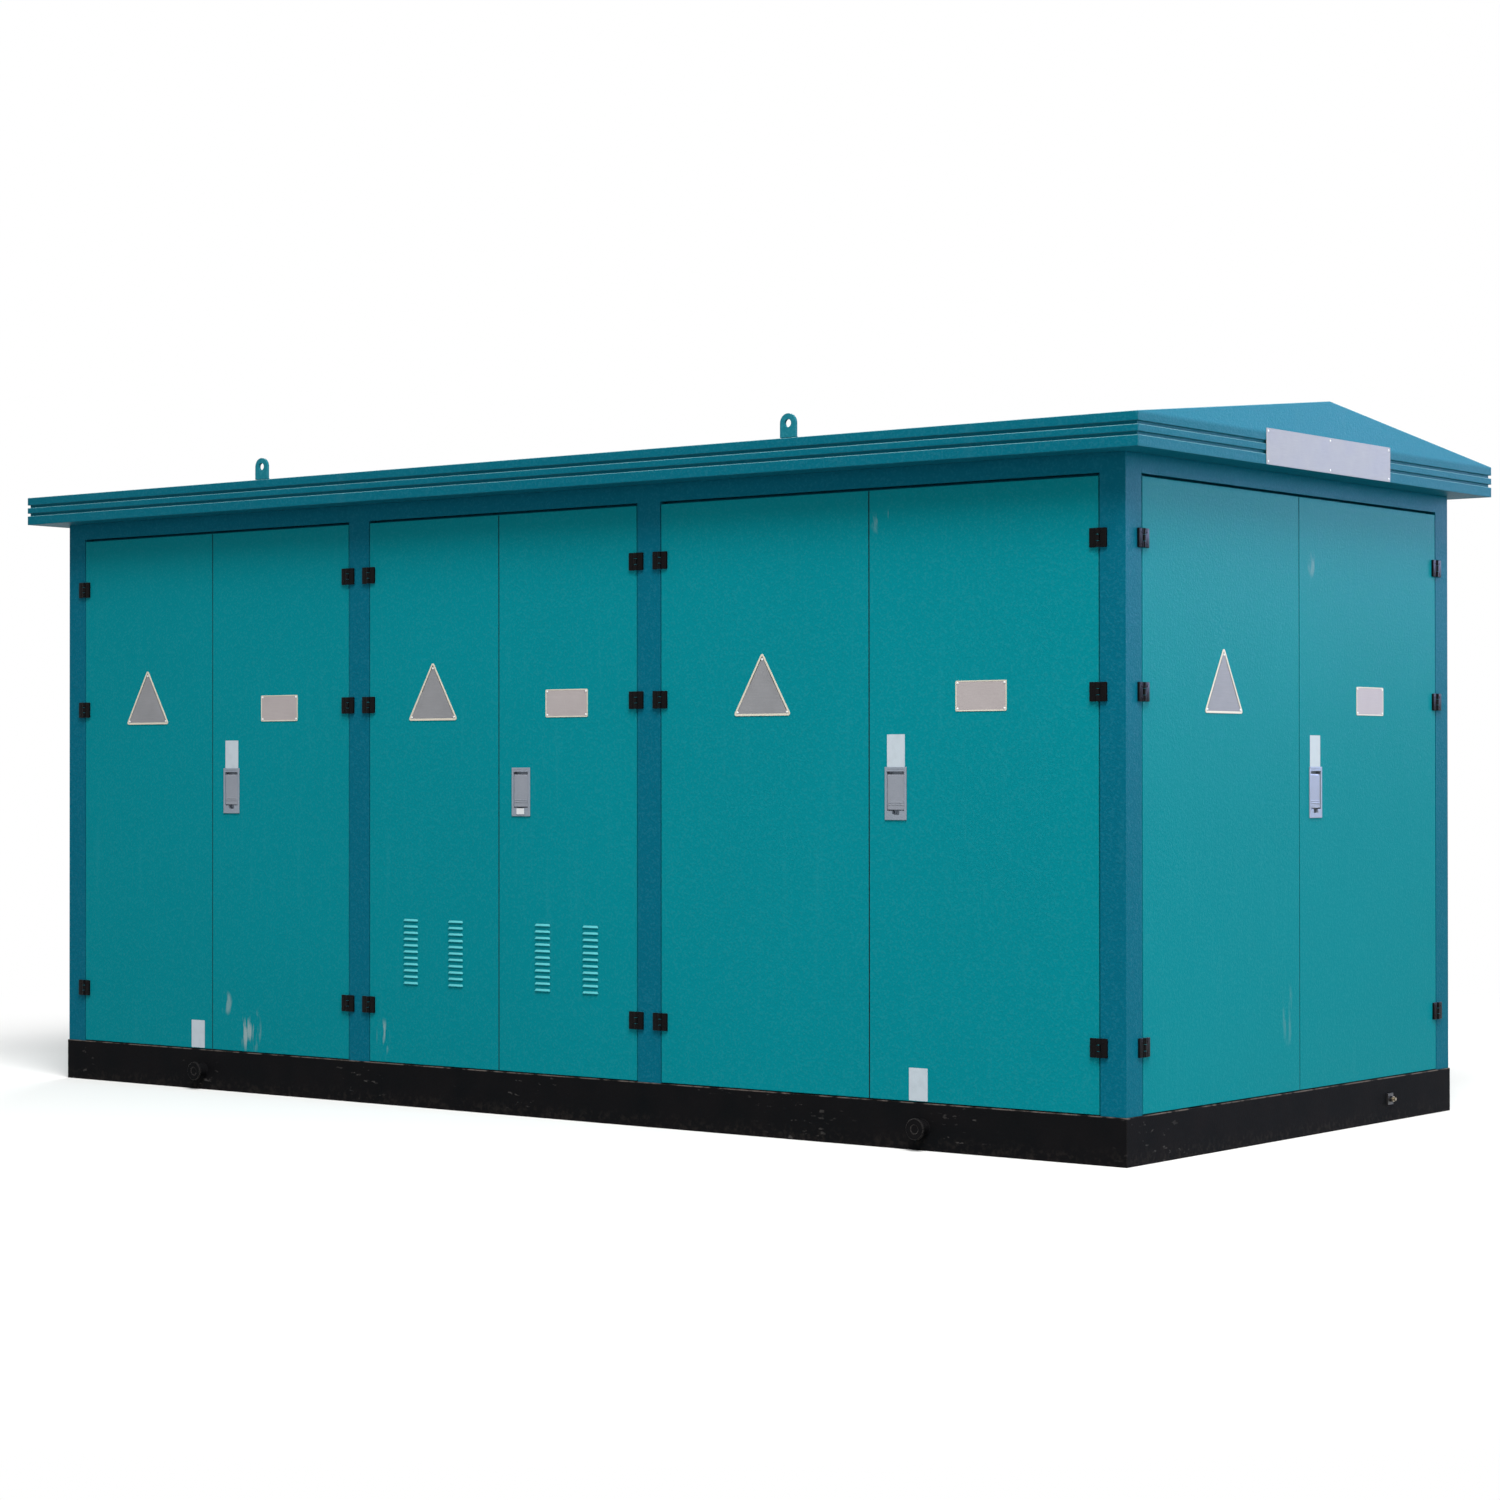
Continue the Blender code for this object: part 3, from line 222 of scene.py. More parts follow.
def raised(place, height, distance, normal=None):
    """A bump; height 1 stands distance metres proud."""
    sockets = {"Height": height, "Distance": distance}
    if normal:
        sockets["Normal"] = normal
    return place.node("Bump", {}, sockets)


def shade(material, sockets):
    """Fills or links the sockets of a material's shader."""
    shader = material.node_tree.nodes["Principled BSDF"]
    for name, value in sockets.items():
        if isinstance(value, Value):
            material.node_tree.links.new(value.socket, shader.inputs[name])
        elif name.endswith("Color"):
            shader.inputs[name].default_value = (*value, 1.0)
        else:
            shader.inputs[name].default_value = value
    return material


def dress(nodes, material):
    """Gives CAD nodes their finish."""
    for name in nodes:
        frame["nodes"][name].material_slots[0].material = material


def skid_enamel(name, rubbed):
    """Brushed enamel; rubbed is how pale its edges are painted, partly bare metal and partly a painted
    highlight.  Its rim is the skid's outer lip, painted pale as rubbed paint and a painted highlight.
    """
    material, place = new_material(name)
    height = axis_of(place, 2)
    reach, width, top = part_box("base_frame")[1]
    rounded, edge = worn_edges(place, 0.003)
    clouds = noise(place, 7.0, 4.0)
    grit = noise(place, 160.0, 3.0)
    scuffs = noise(place, 26.0, 5.0, (1.0, 1.0, 2.6)).between(0.63, 0.70)
    scuffs = scuffs * noise(place, 3.0).between(0.50, 0.62)
    splash = (1 - height.between(0.0, 0.07)) * noise(place, 60.0, 3.0).between(0.45, 0.70)
    inside = (reach - abs(axis_of(place, 0))).between(0.004, 0.008)
    inside = inside * (width - abs(axis_of(place, 1))).between(0.004, 0.008)
    # The rim: a pale line along the top of the outer lip, partly rubbed paint and partly a painted
    # highlight.
    rim = height.between(top - 0.0045, top - 0.001) * (1 - inside)
    rim = rim * noise(place, 22.0, 3.0, (1, 1, 0.1)).between(0.36, 0.60)
    tone = mixed(clouds, (0.0032, 0.0046, 0.0056), (0.0092, 0.0080, 0.0086))
    tone = mixed(splash * 0.30, tone, (0.040, 0.034, 0.030))
    tone = mixed(scuffs * 0.55, tone, (0.085, 0.080, 0.078))
    # Edges painted pale by rubbed: partly bare metal, partly a painted highlight.
    tone = mixed(edge * rubbed, tone, (0.160, 0.148, 0.140))
    tone = mixed(rim * 0.65, tone, (0.190, 0.160, 0.145))
    return shade(material, {
        "Base Color": tone, "Roughness": 0.44 + 0.16 * grit + 0.15 * scuffs,
        "Specular IOR Level": 0.012,
        "Normal": raised(place, grit + 2 * clouds, 0.0006, rounded)})


black_enamel = skid_enamel("black_skid_enamel", 0.12)
dress(["base_frame"], black_enamel)


# ---- lifting trunnions and earth stud ------------------------------------------------------
# Turned steel stubs with a disc on their end, welded round to the channel and brushed over
# with it; their edges are painted pale, partly bare where slings rubbed and partly a painted
# highlight.  The earth stud is a threaded steel bolt on a small pad near the rear of the
# right-hand end.
half_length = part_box("right_end_frame")[1].x
half_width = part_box("hv_rear_panel")[1].y
WORLD = Matrix.Identity(4)
OUTWARDS = Matrix.Rotation(math.radians(90), 4, "X")


def wall(quarter_turns, reach):
    """A wall seen from outside: X runs right, Y into the wall from its face, and Z up."""
    turn = Matrix.Rotation(math.radians(90 * quarter_turns), 4, "Z")
    return turn @ Matrix.Translation((0, -reach, 0))


front, right_end = wall(0, half_width), wall(1, half_length)
rear, left_end = wall(2, half_width), wall(3, half_length)


def box_on(matrix, node):
    """Lowest and highest corner of a CAD node in the coordinates of a wall."""
    corners = [matrix.inverted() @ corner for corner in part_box(node)]
    return Vector(map(min, *corners)), Vector(map(max, *corners))


def turned(name, sides, steps, matrix=WORLD, smooth=35):
    """A turned or many-sided solid along +Z; steps are (radius, height) from its seat on."""
    bpy.ops.object.select_all(action="DESELECT")
    bpy.ops.mesh.primitive_circle_add(vertices=sides, radius=steps[0][0], fill_type="NGON",
                                      location=(0, 0, steps[0][1]))
    piece = bpy.context.object
    piece.name = piece.data.name = name
    bpy.ops.object.transform_apply()
    bpy.ops.object.mode_set(mode="EDIT")
    bpy.ops.mesh.select_mode(type="FACE")
    bpy.ops.mesh.select_all(action="SELECT")
    for (radius, height), (wider, higher) in zip(steps, steps[1:]):
        bpy.ops.mesh.extrude_region_move(
            TRANSFORM_OT_translate={"value": (0, 0, higher - height)})
        grown = wider / radius
        bpy.ops.transform.resize(value=(grown, grown, 1), center_override=(0, 0, higher))
    bpy.ops.mesh.select_all(action="SELECT")
    bpy.ops.mesh.normals_make_consistent(inside=False)
    bpy.ops.object.mode_set(mode="OBJECT")
    bpy.ops.object.shade_smooth_by_angle(angle=math.radians(smooth))
    piece.data.transform(matrix)
    return piece


def fit(piece, body, material):
    """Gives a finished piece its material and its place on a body."""
    piece.data.materials.clear()
    piece.data.materials.append(material)
    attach(piece, body)
    return piece


def weld_bead(name, radius, matrix):
    """A rippled ring of weld round a stub."""
    bead_half, ripple, ripples = 0.0035, 0.02, 23
    bpy.ops.object.select_all(action="DESELECT")
    bpy.ops.mesh.primitive_torus_add(major_segments=96, minor_segments=8,
                                     major_radius=radius, minor_radius=bead_half)
    bead = bpy.context.object
    bead.name = bead.data.name = name
    for vertex in bead.data.vertices:
        vertex.co *= 1 + ripple * math.sin(ripples * math.atan2(vertex.co.y, vertex.co.x))
    bpy.ops.object.shade_smooth()
    bead.data.transform(matrix)
    return bead


# The stubs' edges are painted pale at full strength: partly rubbed bare, partly a painted highlight.
stub_enamel_edge_highlight = skid_enamel("stub_enamel_painted_edge_highlight", 1.0)
stem, disc, disc_sheet, chamfer = 0.026, 0.036, 0.010, 0.0022
for side, matrix in (("front", front), ("rear", rear)):
    for end in ("left", "right"):
        name = f"{side}_{end}_trunnion"
        low, high = box_on(matrix, name)
        reach = high.y - low.y
        middle = (low + high) / 2
        seated = matrix @ Matrix.Translation((middle.x, high.y, middle.z)) @ OUTWARDS
        stub = turned(f"{name}_stub", 48, [
            (stem, 0), (stem, reach - disc_sheet - 0.002), (stem + 0.002, reach - disc_sheet),
            (disc - chamfer, reach - disc_sheet), (disc, reach - disc_sheet + chamfer),
            (disc, reach - chamfer), (disc - chamfer, reach), (stem * 0.6, reach),
            (stem * 0.55, reach - 0.0012)], seated)
        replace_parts(fit(stub, "enclosure", stub_enamel_edge_highlight), name)
        bead = weld_bead(f"{name}_weld", stem + 0.001, seated)
        fit(bead, "enclosure", black_enamel)


def earth_stud_finish():
    """A black pad and nut, and a thread of tarnished plating past them."""
    material, place = new_material("earth_stud")
    pad_face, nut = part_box("earth_stud")[0].x, 0.0145
    thread = (axis_of(place, 0) - pad_face - nut) > 0
    tarnish = noise(place, 240.0, 3.0)
    metal = mixed(tarnish, (0.34, 0.27, 0.15), (0.18, 0.17, 0.17))
    return shade(material, {
        "Base Color": mixed(thread, (0.014, 0.013, 0.014), metal), "Metallic": thread * 0.9,
        "Roughness": 0.32 + 0.2 * tarnish, "Normal": raised(place, tarnish, 0.0003)})


dress(["earth_stud"], earth_stud_finish())


# ---- floors --------------------------------------------------------------------------------
# Chequer plate over the cable space: rolled steel with raised lozenges that turn a quarter
# from each to the next, grey primed and walked bright on their crowns.
def chequer_finish():
    """Grey primer, bright on the crowns of the lozenges."""
    material, place = new_material("chequer_plate")
    cell = 0.034
    column, row = axis_of(place, 0) / cell, axis_of(place, 1) / cell
    turn = (column - column % 1 + row - row % 1) % 2
    across, along = column % 1 - 0.5, row % 1 - 0.5
    first, second = across + along, across - along
    long_way = first * turn + second * (1 - turn)
    short_way = second * turn + first * (1 - turn)
    lozenge = 1 - (long_way * long_way * 2.4 + short_way * short_way * 26.0).between(0.5, 1.0)
    dust = noise(place, 9.0, 5.0)
    grey = mixed(dust, (0.085, 0.088, 0.092), (0.15, 0.145, 0.135))
    return shade(material, {
        "Base Color": mixed(lozenge * 0.6, grey, (0.33, 0.33, 0.33)),
        "Metallic": 0.25 + 0.5 * lozenge, "Roughness": 0.52 - 0.14 * lozenge + 0.1 * dust,
        "Normal": raised(place, lozenge, 0.0016)})


dress(["hv_floor", "lv_floor"], chequer_finish())


# ---- frames --------------------------------------------------------------------------------
# Posts, headers, sills and door stops of folded sheet, welded up one wall at a time, in a
# deep blue-green textured powder coat.
def powder_coat(name, colour, pale, peel, speckle_and_glint, marks=(), painted_sheen=None):
    """Textured enamel: cloudy tone, orange peel, pale speckle that is partly grain and partly painted
    glints, edges painted paler as wear and painted highlight, chalky marks, and upward slopes painted
    paler as a painted sheen.
    """
    material, place = new_material(name)
    rounded, edge = worn_edges(place, 0.0022)
    clouds = noise(place, 1.1, 3.0)
    grain = noise(place, 120.0, 2.0)
    fine = noise(place, 480.0, 1.0)
    drips = noise(place, 5.0, 4.0, (5.0, 5.0, 0.35)).between(0.55, 0.85)
    tone = mixed(clouds, [channel * 0.90 for channel in colour], colour)
    # Pale speckle: partly the coat's grain, partly painted glints of its sheen.
    tone = mixed(grain.between(0.48, 0.66) * speckle_and_glint, tone, pale)
    tone = mixed(drips * 0.07, tone, pale)
    # Edges painted paler: partly wear, partly a painted highlight on the rounded folds.
    tone = mixed(edge * 0.22, tone, pale)
    # Faces that look upwards are mixed toward painted_sheen: a painted sheen where slopes catch the
    # light.
    if painted_sheen:
        upwards = axis_of(place.node("NewGeometry", output="Normal"), 2)
        tone = mixed(upwards.between(0.10, 0.40) * 0.9, tone, painted_sheen)
    for centre, reach, strength in marks:
        away = place.node("VectorMath", {"operation": "SUBTRACT"}, {0: place, 1: centre})
        away = place.node("VectorMath", {"operation": "DIVIDE"}, {0: away, 1: reach})
        away = place.node("VectorMath", {"operation": "LENGTH"}, {0: away}, "Value")
        rubbed = noise(place, 34.0, 4.0, (1.0, 1.0, 0.22)).between(0.47, 0.62)
        tone = mixed((1 - away).between(0.0, 0.5) * rubbed * strength, tone, (0.34, 0.42, 0.43))
    return shade(material, {
        "Base Color": tone, "Roughness": 0.24 + 0.08 * clouds + 0.10 * fine,
        "Specular IOR Level": 0.014,
        "Normal": raised(place, grain + 0.5 * fine, peel, rounded)})


frame_coat = powder_coat("blue_green_frame_coat", (0.0016, 0.124, 0.192),
                         (0.030, 0.215, 0.300), 0.0011, 0.16)
dress(["front_frame", "rear_frame", "left_end_frame", "right_end_frame"], frame_coat)


# ---- door seals ----------------------------------------------------------------------------
# A strip of black rubber lies round each doorway, glued to the folded stops.  The closed
# leaves press on it and keep rain and dust out.
bays = {
    "hv_front": front, "transformer_front": front, "lv_front": front,
    "lv_end": right_end, "hv_end": left_end, "transformer_rear": rear,
}


def rubber_finish():
    """Dull black rubber with a fine grain."""
    material, place = new_material("black_rubber")
    grain = noise(place, 300.0, 2.0)
    return shade(material, {
        "Base Color": mixed(grain, (0.004, 0.004, 0.004), (0.009, 0.009, 0.009)),
        "Roughness": 0.62 + 0.2 * grain, "Specular IOR Level": 0.04,
        "Normal": raised(place, grain, 0.0003)})


rubber = rubber_finish()
stop_depth, strip_width, strip, from_knuckle = 0.0409, 0.009, 0.0022, 0.010
above_foot, below_head = 0.008, 0.001
for bay, matrix in bays.items():
    low, high = box_on(matrix, f"{bay}_left_leaf")[0], box_on(matrix, f"{bay}_right_leaf")[1]
    low = low + Vector((from_knuckle, 0, above_foot))
    high = high - Vector((from_knuckle, 0, below_head))
    bpy.ops.object.select_all(action="DESELECT")
    bpy.ops.mesh.primitive_plane_add(size=1)
    seal = bpy.context.object
    seal.name = seal.data.name = f"{bay}_door_seal"
    seal.scale = (high.x - low.x, high.z - low.z, 1)
    bpy.ops.object.transform_apply()
    bpy.ops.object.mode_set(mode="EDIT")
    bpy.ops.mesh.select_mode(type="FACE")
    bpy.ops.mesh.select_all(action="SELECT")
    bpy.ops.mesh.inset(thickness=strip_width)
    bpy.ops.mesh.delete(type="FACE")
    bpy.ops.mesh.select_all(action="SELECT")
    bpy.ops.mesh.extrude_region_move(TRANSFORM_OT_translate={"value": (0, 0, strip)})
    bpy.ops.mesh.select_all(action="SELECT")
    bpy.ops.mesh.normals_make_consistent(inside=False)
    bpy.ops.object.mode_set(mode="OBJECT")
    middle = Matrix.Translation(((low.x + high.x) / 2, stop_depth, (low.z + high.z) / 2))
    seal.data.transform(matrix @ middle @ OUTWARDS)
    fit(seal, "enclosure", rubber)


# ---- partitions ----------------------------------------------------------------------------
# Flat galvanised sheets between the rooms, each with a passage cut in it for cables or bars.
# Their zinc shows a grey spangle of irregular crystals, dulled with age.
def galvanised_finish():
    """A spangle of crystals under a grey haze."""
    material, place = new_material("galvanised_spangle")
    crystals = place.node("TexVoronoi", {}, {"Vector": place, "Scale": 60.0}, 1)
    tone = axis_of(crystals, 0)
    haze = noise(place, 3.0, 4.0)
    return shade(material, {
        "Base Color": mixed(tone * 0.6 + haze * 0.4, (0.36, 0.38, 0.38), (0.58, 0.60, 0.60)),
        "Metallic": 0.45, "Roughness": 0.42 + 0.14 * tone + 0.1 * haze,
        "Specular IOR Level": 0.1,
        "Normal": raised(place, tone, 0.0002)})


galvanised = galvanised_finish()
dress(["hv_partition", "lv_partition"], galvanised)


# ---- leaves --------------------------------------------------------------------------------
# Twelve folded-sheet leaves in a lighter teal powder coat.  Chalk and packing have rubbed
# pale marks on a few of them, mostly near the foot: middle, reach and strength of each.
chalk_marks = [
    ((-1.455, -half_width, 0.245), (0.070, 0.05, 0.105), 0.75),
    ((-1.590, -half_width, 0.345), (0.040, 0.05, 0.055), 0.45),
    ((-0.735, -half_width, 0.250), (0.040, 0.05, 0.080), 0.55),
    ((1.575, -half_width, 2.080), (0.060, 0.05, 0.050), 0.40),
    ((half_length, 0.090, 1.960), (0.05, 0.035, 0.055), 0.28),
    ((half_length, -0.080, 0.420), (0.05, 0.050, 0.120), 0.15),
]
teal, pale_teal = (0.0016, 0.222, 0.268), (0.060, 0.340, 0.385)
door_coat = powder_coat("teal_door_coat", teal, pale_teal, 0.0007, 0.08, chalk_marks)
hinge_axes = {joint["child"]: Vector(joint["pos_m"]) for joint in frame["joints"]}
leaves = {}
for bay, matrix in bays.items():
    pair = {hand: f"{bay}_{hand}_leaf" for hand in ("left", "right")}
    axes = {hand: (matrix.inverted() @ hinge_axes[leaf]).x for hand, leaf in pair.items()}
    seam = (axes["left"] + axes["right"]) / 2
    for hand, leaf in pair.items():
        low, high = box_on(matrix, leaf)
        leaves[leaf] = {
            "bay": bay, "hand": hand, "wall": matrix, "axis": axes[hand], "seam": seam,
            "middle": (axes[hand] + seam) / 2, "foot": low.z, "top": high.z,
            "width": abs(seam - axes[hand])}
dress(leaves, door_coat)


def modify(piece, kind, **settings):
    """Applies one modifier to a piece."""
    modifier = piece.modifiers.new(kind.lower(), kind)
    for name, value in settings.items():
        setattr(modifier, name, value)
    bpy.ops.object.select_all(action="DESELECT")
    bpy.context.view_layer.objects.active = piece
    bpy.ops.object.modifier_apply(modifier=modifier.name)
    return piece


def block(name, low, high, round_off=0.0, segments=2):
    """A block between two corners, with its edges rounded."""
    bpy.ops.object.select_all(action="DESELECT")
    bpy.ops.mesh.primitive_cube_add(size=1, location=(Vector(low) + Vector(high)) / 2)
    piece = bpy.context.object
    piece.name = piece.data.name = name
    piece.scale = Vector(high) - Vector(low)
    bpy.ops.object.transform_apply()
    if round_off:
        modify(piece, "BEVEL", width=round_off, segments=segments)
    return piece


def combined(piece, operation, other):
    """Cuts other from piece, or joins it on, and removes it."""
    modify(piece, "BOOLEAN", operation=operation, object=other)
    bpy.data.objects.remove(other)
    return piece


def again(piece, name, matrix):
    """A copy of a piece with its own mesh, moved by matrix."""
    twin = piece.copy()
    twin.data = piece.data.copy()
    twin.name = twin.data.name = name
    twin.data.transform(matrix)
    bpy.context.scene.collection.objects.link(twin)
    return twin


def gathered(name, pieces):
    """Several separate solids as one piece."""
    bpy.ops.object.select_all(action="DESELECT")
    for piece in pieces:
        piece.select_set(True)
    bpy.context.view_layer.objects.active = pieces[0]
    bpy.ops.object.join()
    pieces[0].name = pieces[0].data.name = name
    return pieces[0]


# ---- stiffeners ----------------------------------------------------------------------------
# Hat-section stiffeners spot welded up the inside of every leaf and rear panel, in the same
# coat.  A louvred leaf has one between its rows of louvres, the others have two.
hat_width, brim, hat_depth, hat_sheet, from_ends = 0.040, 0.014, 0.018, 0.0015, 0.050
behind_sheet = 0.0021


def stiffener(u, foot, top, matrix):
    """A hat section that stands at u on the back of a sheet."""
    low, high = foot + from_ends, top - from_ends
    half = hat_width / 2
    hat = block("stiffener", (u - half, behind_sheet, low),
                (u + half, behind_sheet + hat_depth, high), 0.0025)
    brims = block("brims", (u - half - brim, behind_sheet, low),
                  (u + half + brim, behind_sheet + hat_sheet, high))
    hat = combined(hat, "UNION", brims)
    hat.data.transform(matrix)
    return hat


def rows_of(leaf):
    """Where a leaf's stiffeners stand."""
    if leaf["bay"].startswith("transformer"):
        return [leaf["middle"]]
    return [leaf["middle"] + side * leaf["width"] / 6 for side in (-1, 1)]


for name, leaf in leaves.items():
    hats = [stiffener(u, leaf["foot"], leaf["top"], leaf["wall"]) for u in rows_of(leaf)]
    fit(gathered(f"{name}_stiffeners", hats), name, door_coat)


# ---- meeting strips ------------------------------------------------------------------------
# A black rubber strip glued down the free edge of each left leaf fills most of the seam
# between a pair, a little behind their faces; it also stands in for the shade in the seam.
seam_gap, strip_clear, strip_front, strip_back, strip_short = 0.005, 0.0005, 0.0012, 0.0120, 0.002
for name, leaf in leaves.items():
    if leaf["hand"] == "left":
        edge = leaf["seam"] - seam_gap / 2
        # A dark strip in the seam: rubber, and also a stand-in for the seam's shade.
        seam_shade_strip = block(
            f"{name}_seam_shade_strip", (edge - 0.0001, strip_front, leaf["foot"] + strip_short),
            (edge + seam_gap - strip_clear, strip_back, leaf["top"] - strip_short), 0.0008)
        seam_shade_strip.data.transform(leaf["wall"])
        fit(seam_shade_strip, name, rubber)


# ---- hinges --------------------------------------------------------------------------------
# Cast lift-off hinges in black enamel: thick halves with rounded rims, one screwed to the
# post and one to the leaf, on a barrel of three knuckles whose middle one turns with the leaf.
hinge_height, half_near, half_far, half_thick = 0.062, 0.0072, 0.0320, 0.0090
knuckle, barrel_out, knuckle_chamfer, running_gap = 0.0068, 0.0070, 0.0010, 0.0004
middle_knuckle = hinge_height / 6
lowest_above_foot, middle_below_top, highest_below_top = 0.212, 0.684, 0.196


def hinge_finish():
    """Black enamel with a fine grain, a little worn at the rims."""
    material, place = new_material("black_hinge_enamel")
    rounded, edge = worn_edges(place, 0.0009)
    grain = noise(place, 420.0, 2.0)
    tone = mixed(grain, (0.0016, 0.0015, 0.0020), (0.0042, 0.0038, 0.0042))
    tone = mixed(edge * 0.10, tone, (0.055, 0.052, 0.050))
    return shade(material, {
        "Base Color": tone, "Roughness": 0.30 + 0.16 * grain, "Specular IOR Level": 0.06,
        "Normal": raised(place, grain, 0.0003, rounded)})


def smoothed(piece, degrees=35):
    """Shades a piece smooth, but for its edges sharper than this."""
    bpy.ops.object.select_all(action="DESELECT")
    bpy.context.view_layer.objects.active = piece
    piece.select_set(True)
    bpy.ops.object.shade_smooth_by_angle(angle=math.radians(degrees))
    return piece


def hinge_half(name, knuckle_spans):
    """A half to the right of its axis; the origin is on the wall's face under the axis."""
    half = block(name, (half_near, -half_thick, -hinge_height / 2),
                 (half_far, -0.0002, hinge_height / 2), 0.0024, 3)
    for low, high in knuckle_spans:
        web = block("web", (0.001, -barrel_out - 0.0034, low + 0.0004),
                    (half_near + 0.003, -0.0020, high - 0.0004))
        half = combined(half, "UNION", web)
        barrel = turned("barrel", 24, [
            (knuckle - knuckle_chamfer, low), (knuckle, low + knuckle_chamfer),
            (knuckle, high - knuckle_chamfer), (knuckle - knuckle_chamfer, high)],
            Matrix.Translation((0, -barrel_out, 0)))
        half = combined(half, "UNION", barrel)
    return smoothed(half)


hinge_black = hinge_finish()
inner, outer = middle_knuckle - running_gap / 2, middle_knuckle + running_gap / 2
leaf_half = hinge_half("leaf_half", [(-inner, inner)])
post_half = hinge_half("post_half", [(-hinge_height / 2, -outer), (outer, hinge_height / 2)])
screw_out, screw_up = 0.0175, 0.018
screws = [turned("screw", 12, [(0.0030, 0), (0.0030, 0.0004), (0.0021, 0.0010)],
                 Matrix.Translation((screw_out, -half_thick, z)) @ OUTWARDS)
          for z in (-screw_up, screw_up)]
screw_pair = gathered("screw_pair", screws)
TO_THE_LEFT = Matrix.Rotation(math.pi, 4, "Y")
post_halves, post_screws = [], []
for name, leaf in leaves.items():
    leaf_side, post_side = WORLD, TO_THE_LEFT
    if leaf["hand"] == "right":
        leaf_side, post_side = post_side, leaf_side
    heights = (leaf["foot"] + lowest_above_foot, leaf["top"] - middle_below_top,
               leaf["top"] - highest_below_top)
    spots = [leaf["wall"] @ Matrix.Translation((leaf["axis"], 0, z)) for z in heights]
    moving = [again(leaf_half, f"{name}_hinge", spot @ leaf_side) for spot in spots]
    fit(gathered(f"{name}_hinge_halves", moving), name, hinge_black)
    moving = [again(screw_pair, f"{name}_screw", spot @ leaf_side) for spot in spots]
    fit(gathered(f"{name}_hinge_screws", moving), name, hinge_black)
    post_halves += [again(post_half, "post_hinge", spot @ post_side) for spot in spots]
    post_screws += [again(screw_pair, "post_screw", spot @ post_side) for spot in spots]
fit(gathered("post_hinge_halves", post_halves), "enclosure", hinge_black)
fit(gathered("post_hinge_screws", post_screws), "enclosure", hinge_black)
for pattern in (leaf_half, post_half, screw_pair):
    bpy.data.objects.remove(pattern)


# ---- louvre hoods --------------------------------------------------------------------------
# Each slot of the transformer doors is a louvre pressed out of the sheet: a hood that slopes
# out from above the slot, closed at its ends and open below.  Its slope is painted pale, a
# painted sheen where it catches the light.
louvre_rows, louvre_pitch, louvres_above_foot, louvre_spread = 11, 0.0234, 0.546, 0.114
hood_half, hood_out, hood_sheet = 0.036, 0.0042, 0.0009
lip_foot, lip_top, hood_top, towards_seam = -0.0046, -0.0028, 0.0044, 0.00125
hood = block("hood", (-hood_half, -hood_out, lip_foot), (hood_half, -0.0001, lip_top))


def picked(piece, test):
    """Opens a piece in edit mode with only the faces selected whose normal passes test."""
    bpy.context.view_layer.objects.active = piece
    bpy.ops.object.mode_set(mode="EDIT")
    bpy.ops.mesh.select_mode(type="FACE")
    bpy.ops.mesh.select_all(action="DESELECT")
    bpy.ops.object.mode_set(mode="OBJECT")
    for face in piece.data.polygons:
        face.select = test(face.normal)
    bpy.ops.object.mode_set(mode="EDIT")


picked(hood, lambda normal: normal.z > 0.9)
bpy.ops.mesh.extrude_region_move(TRANSFORM_OT_translate={"value": (0, 0, hood_top - lip_top)})
bpy.ops.transform.resize(value=(0.90, 0.12, 1), center_override=(0, 0, hood_top))
bpy.ops.object.mode_set(mode="OBJECT")
picked(hood, lambda normal: normal.y > 0.9 or abs(normal.z) > 0.9)
bpy.ops.mesh.delete(type="FACE")
bpy.ops.mesh.select_all(action="SELECT")
bpy.ops.mesh.bevel(offset=0.0012, segments=2, affect="EDGES")
bpy.ops.object.mode_set(mode="OBJECT")
modify(hood, "SOLIDIFY", thickness=hood_sheet, offset=-1)
smoothed(hood, 50)
# The hoods' upward slopes are painted pale: a painted sheen.
hood_coat = powder_coat("hood_coat_painted_sheen", teal, pale_teal, 0.0005, 0.08,
                        painted_sheen=(0.105, 0.480, 0.520))
for name, leaf in leaves.items():
    if not leaf["bay"].startswith("transformer"):
        continue
    middle = leaf["middle"] + (towards_seam if leaf["hand"] == "left" else -towards_seam)
    hoods = [again(hood, f"{name}_hood", leaf["wall"] @ Matrix.Translation(
        (u, 0, leaf["foot"] + louvres_above_foot - louvre_pitch * (row + 0.5))))
        for u in (middle - louvre_spread, middle + louvre_spread) for row in range(louvre_rows)]
    fit(gathered(f"{name}_louvre_hoods", hoods), name, hood_coat)
bpy.data.objects.remove(hood)


# ---- rear panels ---------------------------------------------------------------------------
# Fixed folded panels close the rear of the two switchgear rooms.  Hexagon bolts round their
# edge hold them to the stops, and they are stiffened like the leaves.
def zinc_finish():
    """Bright zinc with a clouded surface."""
    material, place = new_material("zinc_plated_steel")
    cloud = noise(place, 90.0, 3.0)
    return shade(material, {
        "Base Color": mixed(cloud, (0.24, 0.25, 0.26), (0.38, 0.38, 0.39)), "Metallic": 0.90,
        "Roughness": 0.28 + 0.22 * cloud, "Normal": raised(place, cloud, 0.0002)})


zinc = zinc_finish()
dress(["hv_rear_panel", "lv_rear_panel"], door_coat)
bolt_radius, bolt_height, washer, bolt_inset, bolt_pitch = 0.0075, 0.0052, 0.0016, 0.024, 0.30


